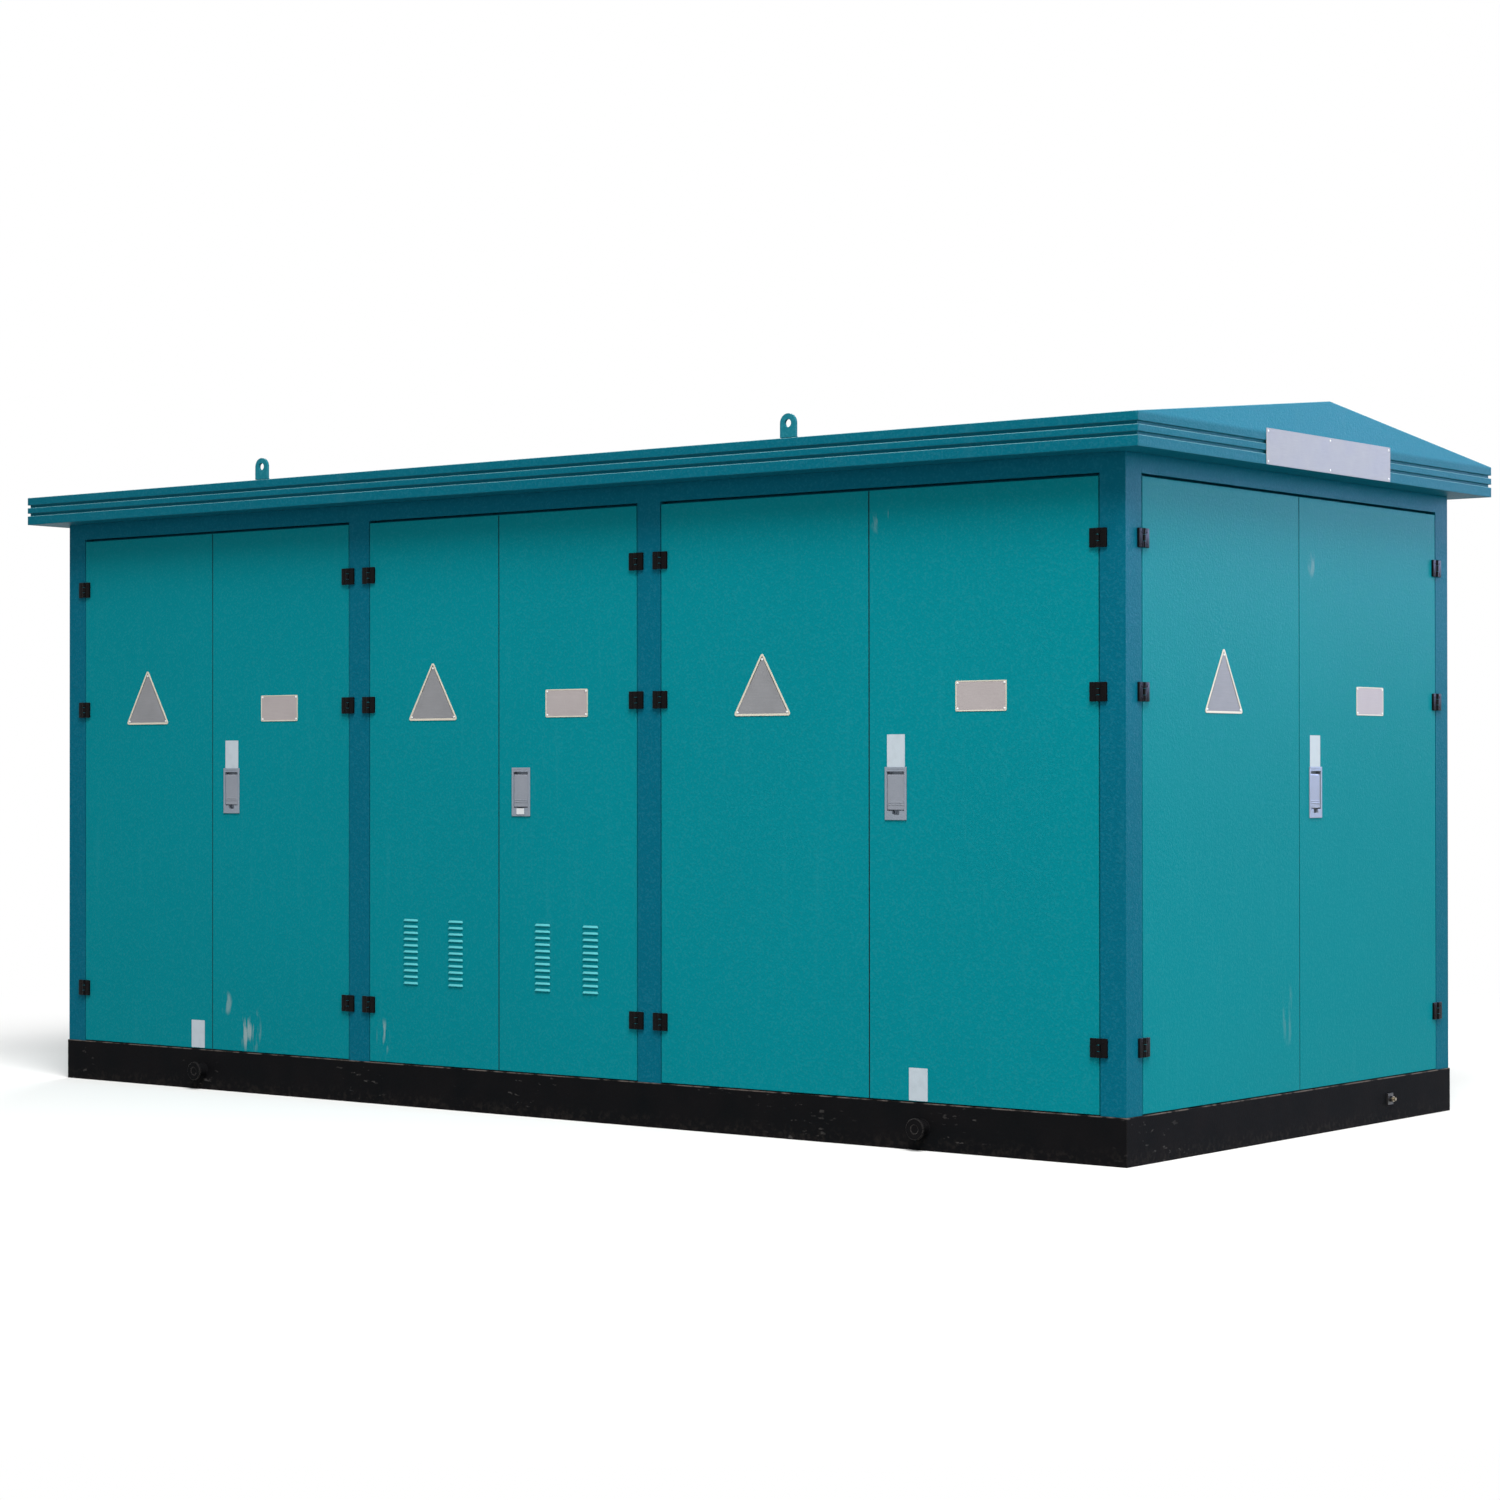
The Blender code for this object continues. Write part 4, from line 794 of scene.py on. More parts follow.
def hex_bolt(name, radius, height, matrix=WORLD):
    """A hexagon head on its washer, seated at the origin of matrix along its +Z."""
    head = turned("head", 6, [(radius, washer), (radius, height * 0.85), (radius * 0.86, height)])
    ring = turned("washer", 20, [
        (radius * 1.5, 0), (radius * 1.5, washer * 0.8), (radius * 1.42, washer)])
    made = gathered(name, [head, ring])
    made.data.transform(matrix)
    return made


def spots_round(low, high, inset, pitch):
    """Evenly spaced places round a rectangle, inset from its edges, at most pitch apart."""
    (left, foot), (right, top) = [c + inset for c in low], [c - inset for c in high]
    across, up = math.ceil((right - left) / pitch), math.ceil((top - foot) / pitch)
    spots = {(left + (right - left) * i / across, v) for i in range(across + 1) for v in (foot, top)}
    spots |= {(u, foot + (top - foot) * i / up) for i in range(1, up) for u in (left, right)}
    return sorted(spots)


bolt = hex_bolt("bolt", bolt_radius, bolt_height)
for name in ("hv_rear_panel", "lv_rear_panel"):
    low, high = box_on(rear, name)
    bolts = [again(bolt, "bolt", rear @ Matrix.Translation((u, 0, z)) @ OUTWARDS)
             for u, z in spots_round((low.x, low.z), (high.x, high.z), bolt_inset, bolt_pitch)]
    fit(gathered(f"{name}_bolts", bolts), "enclosure", zinc)
    hats = [stiffener((low.x + high.x) / 2 + side * (high.x - low.x) / 6, low.z, high.z, rear)
            for side in (-1, 0, 1)]
    fit(gathered(f"{name}_stiffeners", hats), "enclosure", door_coat)
bpy.data.objects.remove(bolt)


# ---- roof and lifting eyes -----------------------------------------------------------------
# A low gable of welded sheet with a fascia in three bands, in the same coat as the frames but
# with painted highlights on its upper edges and a painted sheen on the right-hand gable, and
# dusty in streaks down its slopes.  The eyes are flame-cut plates in a lighter copy of the
# coat, as painted light, welded along the fascia's top edge.
def roof_coat():
    """The frames' coat with painted highlights on its edges, mostly the upward ones, and a painted
    sheen on the right-hand gable, with dust, rain runs and sheet seams.
    """
    material, place = new_material("blue_green_roof_coat")
    low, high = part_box("roof")
    x, y, z = (axis_of(place, i) for i in range(3))
    band_top, band_foot, sheet_pitch = 0.130, 0.148, 0.88
    rounded, edge = worn_edges(place, 0.0042)
    painted_upper_edge_highlight = edge * axis_of(rounded, 2).between(0.05, 0.45)
    clouds = noise(place, 1.3, 4.0)
    grain = noise(place, 120.0, 2.0)
    fine = noise(place, 480.0, 1.0)
    upwards = axis_of(place.node("NewGeometry", output="Normal"), 2)
    dust = upwards.between(0.2, 0.9) * noise(place, 6.0, 6.0, (1.0, 0.25, 1.0)).between(0.20, 0.90)
    runs = noise(place, 9.0, 3.0, (1.0, 1.0, 0.06)).between(0.58, 0.85)
    # The right-hand gable's top band is painted paler: a painted sheen.
    gable = z.between(high.z - band_foot, high.z - band_top)
    gable = (x - (high.x - 0.012)).between(0.0, 0.004) * gable
    corner = abs(abs(y) - (high.y - 0.0035)) < 0.0007
    corner = corner * ((abs(x) - (high.x - 0.012)) > 0)
    seam = abs((abs(x) % sheet_pitch) - sheet_pitch / 2) < 0.004
    seam = seam * upwards.between(0.9, 0.99)
    tone = mixed(clouds, (0.0018, 0.108, 0.158), (0.0024, 0.124, 0.180))
    tone = mixed(gable * 0.38, tone, (0.032, 0.290, 0.430))
    # Pale speckle: partly the coat's grain, partly painted glints.
    tone = mixed(grain.between(0.48, 0.66) * 0.10, tone, (0.060, 0.260, 0.340))
    tone = mixed(runs * 0.10, tone, (0.080, 0.230, 0.290))
    tone = mixed(dust * 0.16, tone, (0.170, 0.230, 0.250))
    # Edges painted paler: partly wear, partly a painted highlight; upward-facing edges much paler, a
    # painted highlight.
    tone = mixed(edge * 0.25, tone, (0.090, 0.330, 0.430))
    tone = mixed(painted_upper_edge_highlight * 0.85, tone, (0.300, 0.620, 0.690))
    tone = mixed(corner * 0.7, tone, (0.0015, 0.030, 0.045))
    return shade(material, {
        "Base Color": tone, "Roughness": 0.38 + 0.12 * clouds + 0.20 * dust,
        "Specular IOR Level": 0.022,
        "Normal": raised(place, grain + 0.5 * fine + 2.0 * seam, 0.0011, rounded)})


roof_paint = roof_coat()
dress(["roof"], roof_paint)
# The eyes take a lighter copy of the roof's coat: painted light on their lit faces.
eye_coat_painted_light = powder_coat("eye_coat_painted_lighter", (0.012, 0.170, 0.225), (0.070, 0.300, 0.360),
                       0.0009, 0.16)
dress([f"{side}_{end}_eye" for side in ("front", "rear") for end in ("left", "right")], eye_coat_painted_light)
fillet = 0.0045
for side, matrix in (("front", front), ("rear", rear)):
    for end in ("left", "right"):
        low, high = box_on(matrix, f"{side}_{end}_eye")
        bpy.ops.object.select_all(action="DESELECT")
        bpy.ops.mesh.primitive_cylinder_add(vertices=10, radius=fillet, depth=high.x - low.x)
        bead = bpy.context.object
        bead.name = bead.data.name = f"{side}_{end}_eye_weld"
        bead.rotation_euler = (0, math.radians(90), 0)
        bead.location = ((low.x + high.x) / 2, high.y, low.z)
        bpy.ops.object.transform_apply()
        bpy.ops.object.mode_set(mode="EDIT")
        bpy.ops.mesh.select_all(action="SELECT")
        bpy.ops.mesh.bevel(offset=0.0008, segments=1, affect="EDGES")
        bpy.ops.object.mode_set(mode="OBJECT")
        modify(bead, "SUBSURF", levels=1, render_levels=1)
        bpy.context.view_layer.objects.active = bead
        bead.select_set(True)
        bpy.ops.object.shade_smooth()
        bead.data.transform(matrix)
        fit(bead, "enclosure", roof_paint)


# ---- flush locks ---------------------------------------------------------------------------
# Die-cast flush locks, satin chromed: a tray let into the leaf, and a lever plate that lies
# flush in it and is pulled out by its foot.  The transformer doors' locks have a key cover.
def satin_metal(name, dark, light, roughness, metallic=0.34):
    """Satin-chromed die casting, brushed lengthwise and smeared by hands."""
    material, place = new_material(name)
    rounded, edge = worn_edges(place, 0.0010)
    brushed = noise(place, 90.0, 3.0, (1.0, 1.0, 9.0))
    smear = noise(place, 14.0, 4.0)
    tone = mixed(brushed * 0.5 + smear * 0.5, dark, light)
    # Edges painted brighter: partly wear, partly a painted highlight.
    tone = mixed(edge * 0.5, tone, [min(1.0, 1.6 * channel) for channel in light])
    return shade(material, {
        "Base Color": tone, "Metallic": metallic, "Roughness": roughness + 0.14 * smear,
        "Specular IOR Level": 0.03, "Normal": raised(place, brushed, 0.00025, rounded)})


seat_gap = 0.0003
lock_rim = satin_metal("satin_lock_casting", (0.205, 0.240, 0.290), (0.290, 0.325, 0.380), 0.40)
lock_plate = satin_metal("satin_lever_plate", (0.215, 0.236, 0.280), (0.300, 0.322, 0.365), 0.34)
polished = satin_metal("polished_key_cover", (0.56, 0.58, 0.60), (0.74, 0.76, 0.78), 0.22, 0.9)
lock_flange, recess_half, recess_deep, recess_top, recess_foot = 0.008, 0.0355, 0.016, 0.073, -0.0575
notch_half, notch_reach, tray_deep, ridge_heights = 0.0155, 0.013, 0.024, (-0.030, -0.037)
key_cover_low, key_cover_high = (-0.0185, -0.0068, -0.0810), (0.0185, -0.0042, -0.0590)
lever_sheet = 0.005
for bay, matrix in bays.items():
    low, high = box_on(matrix, f"{bay}_lock_housing")
    half = (high.x - low.x) / 2
    tall = (high.z - low.z) / 2
    spot = matrix @ Matrix.Translation(((low.x + high.x) / 2, 0, (low.z + high.z) / 2))
    casting = block("casting", (-half, low.y, -tall), (half, -seat_gap, tall), 0.0012)
    tray = block("tray", (-half + lock_flange, low.y + 0.002, -tall + lock_flange),
                 (half - lock_flange, tray_deep, tall - lock_flange), 0.0015)
    casting = combined(casting, "UNION", tray)
    for cut_low, cut_high, round_off in (
            ((-recess_half, -0.05, recess_foot), (recess_half, recess_deep, recess_top), 0.0006),
            ((-notch_half, -0.05, recess_foot - notch_reach),
             (notch_half, recess_deep, recess_foot + notch_reach), 0.0025),
            ((-half + 0.010, -0.05, tall - 0.0085), (half - 0.010, low.y + 0.0008, tall - 0.0072), 0)):
        casting = combined(casting, "DIFFERENCE", block("cutter", cut_low, cut_high, round_off))
    casting.name = casting.data.name = f"{bay}_lock_casting"
    casting.data.transform(spot)
    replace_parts(fit(casting, f"{bay}_right_leaf", lock_rim), f"{bay}_lock_housing")

    low, high = box_on(matrix, f"{bay}_lock_lever")
    top = high.z - spot.translation.z - 0.0045
    bottom = low.z - spot.translation.z
    plate_half = (high.x - low.x) / 2
    lever = block("lever", (-plate_half, low.y, bottom),
                  (plate_half, low.y + lever_sheet, top), 0.0012)
    roll = turned("roll", 24, [(0.0035, -plate_half + 0.0005), (0.0045, -plate_half + 0.0015),
                               (0.0045, plate_half - 0.0015), (0.0035, plate_half - 0.0005)],
                  Matrix.Translation((0, low.y + lever_sheet, top))
                  @ Matrix.Rotation(math.pi / 2, 4, "Y"))
    lever = combined(lever, "UNION", roll)
    for z in ridge_heights:
        ridge = block("ridge", (-plate_half + 0.004, low.y - 0.0014, z - 0.0016),
                      (plate_half - 0.004, low.y + 0.001, z + 0.0016), 0.0010)
        lever = combined(lever, "UNION", ridge)
    lever.name = lever.data.name = f"{bay}_lever_plate"
    lever.data.transform(spot)
    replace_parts(fit(lever, f"{bay}_lock_lever", lock_plate), f"{bay}_lock_lever")

    if bay.startswith("transformer"):
        flap = block(f"{bay}_key_cover", key_cover_low, key_cover_high, 0.0010)
        picked(flap, lambda normal: normal.z > 0.9)
        bpy.ops.transform.resize(value=(0.62, 1, 1), center_override=(0.008, 0, 0))
        bpy.ops.object.mode_set(mode="OBJECT")
        flap.data.transform(spot)
        fit(flap, f"{bay}_right_leaf", polished)


# ---- lock rods -----------------------------------------------------------------------------
# Zinc-plated rods run up and down from each lock, behind its tray, to the ends of the leaf.
# Folded guides spot welded to the sheet keep them straight.
rod_radius, rod_deep, rod_short, clear_of_tray, rod_chamfer = 0.005, 0.0300, 0.020, 0.006, 0.002
guide_from_end, guide_tall, guide_half, wing_half, wing_sheet = 0.080, 0.030, 0.011, 0.024, 0.0015
for bay, matrix in bays.items():
    leaf = leaves[f"{bay}_right_leaf"]
    low, high = box_on(matrix, f"{bay}_lock_housing")
    u = (low.x + high.x) / 2
    spans = ((leaf["foot"] + rod_short, low.z - clear_of_tray),
             (high.z + clear_of_tray, leaf["top"] - rod_short))
    rods, guides = [], []
    for foot, top in spans:
        rods.append(turned("rod", 20, [
            (rod_radius - rod_chamfer, foot), (rod_radius, foot + rod_chamfer),
            (rod_radius, top - rod_chamfer), (rod_radius - rod_chamfer, top)],
            matrix @ Matrix.Translation((u, rod_deep, 0))))
        for z in (foot + guide_from_end, (foot + top) / 2, top - guide_from_end):
            low_end, high_end = z - guide_tall / 2, z + guide_tall / 2
            guide = block("guide", (u - guide_half, behind_sheet, low_end),
                          (u + guide_half, rod_deep + rod_radius + 0.002, high_end), 0.0025)
            wings = block("wings", (u - wing_half, behind_sheet, low_end),
                          (u + wing_half, behind_sheet + wing_sheet, high_end), 0.0005)
            guide = combined(guide, "UNION", wings)
            bore = turned("bore", 20, [(rod_radius + 0.0004, z - guide_tall),
                                       (rod_radius + 0.0004, z + guide_tall)],
                          Matrix.Translation((u, rod_deep, 0)))
            guide = combined(guide, "DIFFERENCE", bore)
            guide.data.transform(matrix)
            guides.append(guide)
    fit(gathered(f"{bay}_lock_rods", rods), f"{bay}_right_leaf", zinc)
    fit(gathered(f"{bay}_rod_guides", guides), f"{bay}_right_leaf", zinc)


# ---- plates and stickers -------------------------------------------------------------------
# Stamped metal plates with a raised rim, riveted to the leaves: a triangle on each left leaf
# and an oblong on each right one.  Vinyl stickers lie above most locks and near the foot.
def brushed_finish(name, dark, light):
    """Bare metal brushed along the wall, with a cloudy haze that is partly hand and rain marks and
    partly a painted reflection.
    """
    material, place = new_material(name)
    rounded, edge = worn_edges(place, 0.0008)
    lines = noise(place, 1.0, 3.0, (14.0, 14.0, 900.0))
    haze = noise(place, 11.0, 4.0)
    # The haze: partly hand and rain marks, partly a painted reflection.
    tone = mixed(lines * 0.45 + haze * 0.55, dark, light)
    tone = mixed(edge * 0.6, tone, (0.62, 0.60, 0.54))
    return shade(material, {
        "Base Color": tone, "Metallic": 0.12, "Roughness": 0.46 + 0.16 * haze,
        "Specular IOR Level": 0.03, "Normal": raised(place, lines, 0.00012, rounded)})


def vinyl_finish():
    """Blank vinyl with a little grime."""
    material, place = new_material("pale_grey_vinyl")
    grime = noise(place, 30.0, 5.0)
    return shade(material, {
        "Base Color": mixed(grime.between(0.45, 0.80) * 0.5, (0.49, 0.56, 0.62), (0.40, 0.46, 0.51)),
        "Roughness": 0.42 + 0.2 * grime, "Specular IOR Level": 0.04,
        "Normal": raised(place, grime, 0.0002)})


def flat_plate(name, corners, size, sheet, corner_radius, rim=0.0, rise=0.0):
    """A three- or four-cornered plate that faces +Z, with round corners and a raised rim."""
    bpy.ops.object.select_all(action="DESELECT")
    turn = math.pi / 4 if corners == 4 else 0
    bpy.ops.mesh.primitive_circle_add(vertices=corners, fill_type="NGON", rotation=(0, 0, turn))
    piece = bpy.context.object
    piece.name = piece.data.name = name
    bpy.ops.object.transform_apply()
    spread = [[vertex.co[axis] for vertex in piece.data.vertices] for axis in (0, 1)]
    piece.scale = (*[length / (max(row) - min(row)) for length, row in zip(size, spread)], 1)
    bpy.ops.object.transform_apply()
    bpy.ops.object.mode_set(mode="EDIT")
    bpy.ops.mesh.select_mode(type="VERT")
    bpy.ops.mesh.select_all(action="SELECT")
    bpy.ops.mesh.bevel(offset=corner_radius, segments=5, affect="VERTICES")
    bpy.ops.mesh.select_mode(type="FACE")
    bpy.ops.mesh.select_all(action="SELECT")
    bpy.ops.mesh.extrude_region_move(TRANSFORM_OT_translate={"value": (0, 0, sheet + rise)})
    if rim:
        bpy.ops.mesh.inset(thickness=rim)
        bpy.ops.mesh.inset(thickness=rise)
        bpy.ops.transform.translate(value=(0, 0, -rise))
    bpy.ops.mesh.select_all(action="SELECT")
    bpy.ops.mesh.normals_make_consistent(inside=False)
    bpy.ops.object.mode_set(mode="OBJECT")
    low = min(vertex.co.y for vertex in piece.data.vertices)
    piece.data.transform(Matrix.Translation((0, -low, 0)))
    return piece


def rivet(matrix):
    """A domed rivet head seated at the origin of matrix along its +Z."""
    return turned("rivet", 16, [
        (0.0042, 0), (0.0042, 0.0006), (0.0034, 0.0015), (0.0016, 0.0021)], matrix, 60)


plate_metal = brushed_finish("brushed_steel_plate", (0.185, 0.190, 0.202), (0.320, 0.324, 0.345))
sign_metal = brushed_finish("brushed_warm_plate", (0.340, 0.305, 0.308), (0.460, 0.420, 0.422))
rim_metal = brushed_finish("polished_plate_rim", (0.560, 0.520, 0.420), (0.700, 0.660, 0.560))
rivet_metal = brushed_finish("aluminium_rivet", (0.62, 0.62, 0.62), (0.80, 0.80, 0.80))
vinyl = vinyl_finish()
triangle, oblong, sheet, rise, on_face = (0.250, 0.2185), (0.200, 0.100), 0.0010, 0.0009, 0.0002
triangle_foot, oblong_foot = 1.4375, 1.443
corner_inset, rivet_up, tip_down, oblong_inset = 0.018, 0.012, 0.026, 0.008
triangle_corner, triangle_rim, oblong_corner, oblong_rim = 0.014, 0.006, 0.005, 0.0032
triangle_pattern = flat_plate("triangle", 3, triangle, sheet, triangle_corner, triangle_rim, rise)
oblong_pattern = flat_plate("oblong", 4, oblong, sheet, oblong_corner, oblong_rim, rise * 0.6)
for name, leaf in leaves.items():
    if leaf["hand"] == "left":
        pattern, foot, label, metal = triangle_pattern, triangle_foot, "triangle_plate", plate_metal
        spots = [(side * (triangle[0] / 2 - corner_inset), rivet_up) for side in (-1, 1)]
        spots += [(0, triangle[1] - tip_down)]
    else:
        pattern, foot, label, metal = oblong_pattern, oblong_foot, "room_plate", sign_metal
        spots = [(side * (oblong[0] / 2 - oblong_inset), y) for side in (-1, 1)
                 for y in (oblong_inset, oblong[1] - oblong_inset)]
    seat = leaf["wall"] @ Matrix.Translation((leaf["middle"], -on_face, foot)) @ OUTWARDS
    plate = fit(again(pattern, f"{name}_{label}", seat), name, metal)
    plate.data.materials.append(rim_metal)
    widest = max(face.area for face in plate.data.polygons)
    for face in plate.data.polygons:
        face.material_index = int(face.area < widest / 4)
    rivets = [rivet(seat @ Matrix.Translation((x, y, sheet))) for x, y in spots]
    fit(gathered(f"{name}_{label}_rivets", rivets), name, rivet_metal)
bpy.data.objects.remove(triangle_pattern)
bpy.data.objects.remove(oblong_pattern)

sticker, sling_label, label_foot, vinyl_sheet = (0.072, 0.108), (0.075, 0.108), 0.162, 0.0004
beside = {"left": -0.030, "right": -0.020}
for bay, matrix in bays.items():
    if bay.startswith("transformer"):
        continue
    low, high = box_on(matrix, f"{bay}_lock_housing")
    spot = matrix @ Matrix.Translation(((low.x + high.x) / 2, -on_face, high.z)) @ OUTWARDS
    film = flat_plate(f"{bay}_lock_sticker", 4, sticker, vinyl_sheet, 0.002)
    film.data.transform(spot)
    fit(film, f"{bay}_right_leaf", vinyl)
for leaf, trunnion in (("hv_front_left_leaf", "front_left_trunnion"),
                       ("lv_front_right_leaf", "front_right_trunnion"),
                       ("hv_rear_panel", "rear_right_trunnion"),
                       ("lv_rear_panel", "rear_left_trunnion")):
    matrix = rear if leaf.endswith("panel") else front
    low, high = box_on(matrix, trunnion)
    film = flat_plate(f"{trunnion}_sling_label", 4, sling_label, vinyl_sheet, 0.002)
    spot = ((low.x + high.x) / 2 + beside[trunnion.split("_")[1]], -on_face, label_foot)
    film.data.transform(matrix @ Matrix.Translation(spot) @ OUTWARDS)
    fit(film, leaf if leaf in leaves else "enclosure", vinyl)


# ---- gable nameplate -----------------------------------------------------------------------
# A long blank plate of brushed stainless steel with round corners, held to the fascia under
# the gable by six flat rivets.
nameplate_metal = brushed_finish("brushed_nameplate", (0.200, 0.202, 0.210), (0.380, 0.378, 0.385))
low, high = box_on(right_end, "gable_nameplate")
nameplate_sheet, edge_in, end_in = 0.0011, 0.010, 0.012
seat = right_end @ Matrix.Translation(((low.x + high.x) / 2, high.y, low.z)) @ OUTWARDS
size = (high.x - low.x, high.z - low.z)
nameplate = flat_plate("blank_nameplate", 4, size, nameplate_sheet, 0.003)
nameplate.data.transform(seat)
nameplate = fit(nameplate, "enclosure", nameplate_metal)
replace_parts(nameplate, "gable_nameplate")
flat_rivet = Matrix.Diagonal((1, 1, 0.8, 1))
rivets = [rivet(right_end @ Matrix.Translation((u, high.y - nameplate_sheet, z))
                @ OUTWARDS @ flat_rivet)
          for u in (low.x + end_in, (low.x + high.x) / 2, high.x - end_in)
          for z in (low.z + edge_in, high.z - edge_in)]
fit(gathered("gable_nameplate_rivets", rivets), "enclosure", rivet_metal)


# ---- transformer tank ----------------------------------------------------------------------
# Oil-filled tank of welded sheet with cooling fins, in mid-grey enamel that has sweated and
# gathered dust.  The cover is bolted down on a flange and lifted by two lugs.
def tank_enamel():
    """Grey enamel with oily runs down its sides and dust on its upper faces."""
    material, place = new_material("grey_tank_enamel")
    rounded, edge = worn_edges(place, 0.0025)
    clouds = noise(place, 2.4, 4.0)
    grain = noise(place, 190.0, 2.0)
    upwards = axis_of(place.node("NewGeometry", output="Normal"), 2)
    dust = upwards.between(0.3, 0.9) * noise(place, 5.0, 5.0).between(0.25, 0.75)
    sweat = noise(place, 16.0, 4.0, (1.0, 1.0, 0.10)).between(0.60, 0.78)
    tone = mixed(clouds, (0.205, 0.222, 0.228), (0.262, 0.280, 0.285))
    tone = mixed(sweat * 0.35, tone, (0.085, 0.080, 0.070))
    tone = mixed(dust * 0.45, tone, (0.360, 0.340, 0.300))
    tone = mixed(edge * 0.35, tone, (0.440, 0.450, 0.440))
    return shade(material, {
        "Base Color": tone, "Roughness": 0.34 + 0.14 * clouds + 0.28 * dust,
        "Specular IOR Level": 0.25, "Normal": raised(place, grain + clouds, 0.0007, rounded)})


tank_paint = tank_enamel()
dress(["transformer_tank", "tank_cover"], tank_paint)
cover_low, cover_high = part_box("tank_cover")
tank_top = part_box("transformer_tank")[1].z
cover_middle = (cover_low + cover_high) / 2
overhang, flange_inset, flange_sheet = 0.030, 0.002, 0.012
flange = block("tank_flange",
               (cover_low.x + flange_inset, cover_low.y + flange_inset, tank_top - flange_sheet),
               (cover_high.x - flange_inset, cover_high.y - flange_inset, tank_top), 0.0015)
flange = combined(flange, "DIFFERENCE", block(
    "tank_mouth", (cover_low.x + overhang, cover_low.y + overhang, tank_top - 2 * flange_sheet),
    (cover_high.x - overhang, cover_high.y - overhang, tank_top + flange_sheet)))
fit(flange, "enclosure", tank_paint)

cover_bolt_inset, cover_bolt_pitch, cover_bolt_radius, cover_bolt_height = 0.014, 0.095, 0.008, 0.008
bolt = hex_bolt("bolt", cover_bolt_radius, cover_bolt_height)
bolts = [again(bolt, "bolt", Matrix.Translation((x, y, cover_high.z)))
         for x, y in spots_round((cover_low.x, cover_low.y), (cover_high.x, cover_high.y),
                                 cover_bolt_inset, cover_bolt_pitch)]
fit(gathered("tank_cover_bolts", bolts), "enclosure", zinc)

lug_half, lug_tall, lug_sheet, lug_hole, lug_spread = 0.045, 0.075, 0.012, 0.016, 0.42
lug = block("lug", (-lug_half, -lug_sheet / 2, 0), (lug_half, lug_sheet / 2, lug_tall), 0.002)
picked(lug, lambda normal: normal.z > 0.9)
bpy.ops.transform.resize(value=(0.6, 1, 1), center_override=(0, 0, lug_tall))
bpy.ops.object.mode_set(mode="OBJECT")
lug = combined(lug, "DIFFERENCE", turned(
    "hole", 24, [(lug_hole, -lug_sheet), (lug_hole, lug_sheet)],
    Matrix.Translation((0, 0, lug_tall * 0.6)) @ OUTWARDS))
lugs = [again(lug, "lug", Matrix.Translation((cover_middle.x, y, cover_high.z + seat_gap)))
        for y in (-lug_spread, lug_spread)]
fit(gathered("tank_lifting_lugs", lugs), "enclosure", tank_paint)
for pattern in (bolt, lug):
    bpy.data.objects.remove(pattern)


# ---- tank fittings -------------------------------------------------------------------------
# A capped filler pipe and a dial thermometer on the cover, and a drain valve with a hand wheel
# low on the tank's front.  The dial is a blank enamelled disc with a needle.
def plain_finish(name, dark, light, roughness, metallic=0.0):
    """Small mouldings and enamelled fittings: a cloudy tone with paler edges."""
    material, place = new_material(name)
    rounded, edge = worn_edges(place, 0.0010)
    cloud = noise(place, 60.0, 3.0)
    tone = mixed(cloud, dark, light)
    tone = mixed(edge * 0.25, tone, [min(1.0, 0.04 + 1.5 * channel) for channel in light])
    return shade(material, {
        "Base Color": tone, "Metallic": metallic, "Roughness": roughness + 0.16 * cloud,
        "Specular IOR Level": 0.25, "Normal": raised(place, cloud, 0.0002, rounded)})


black_plastic = plain_finish("black_moulding", (0.010, 0.010, 0.011), (0.022, 0.022, 0.023), 0.36)
white_enamel = plain_finish("white_dial_enamel", (0.66, 0.66, 0.63), (0.74, 0.74, 0.71), 0.30)
brass = plain_finish("dull_brass", (0.36, 0.24, 0.09), (0.52, 0.37, 0.16), 0.30, 0.9)
filler_y, pocket_y, gauge_up, drain_down = 0.20, -0.13, 0.078, 0.885
spindle_out, wheel_up = 0.035, 0.052
filler = turned("tank_filler", 40, [
    (0.032, 0), (0.032, 0.008), (0.024, 0.010), (0.024, 0.048), (0.033, 0.050), (0.034, 0.052),
    (0.034, 0.066), (0.031, 0.070), (0.012, 0.071), (0.012, 0.078), (0.010, 0.080)],
    Matrix.Translation((cover_middle.x, filler_y, cover_high.z + seat_gap)))
fit(filler, "enclosure", tank_paint)


def dial(name, radius, deep, seat, needle_turn):
    """A round gauge that faces along +Z of seat: case, blank face and needle."""
    case = turned(f"{name}_case", 48, [
        (radius * 0.94, 0), (radius, deep * 0.2), (radius, deep * 0.9), (radius * 0.96, deep),
        (radius * 0.86, deep), (radius * 0.84, deep * 0.70)], seat)
    fit(case, "enclosure", black_plastic)
    face = turned(f"{name}_face", 48, [
        (radius * 0.83, deep * 0.705), (radius * 0.83, deep * 0.74), (radius * 0.82, deep * 0.76)],
        seat)
    fit(face, "enclosure", white_enamel)
    needle = block(f"{name}_needle", (-radius * 0.03, -radius * 0.18, deep * 0.80),
                   (radius * 0.03, radius * 0.66, deep * 0.84), radius * 0.008)
    hub = turned("hub", 16, [(radius * 0.09, deep * 0.765), (radius * 0.07, deep * 0.88)])
    needle = combined(needle, "UNION", hub)
    needle.data.transform(seat @ Matrix.Rotation(math.radians(needle_turn), 4, "Z"))
    fit(needle, "enclosure", black_plastic)


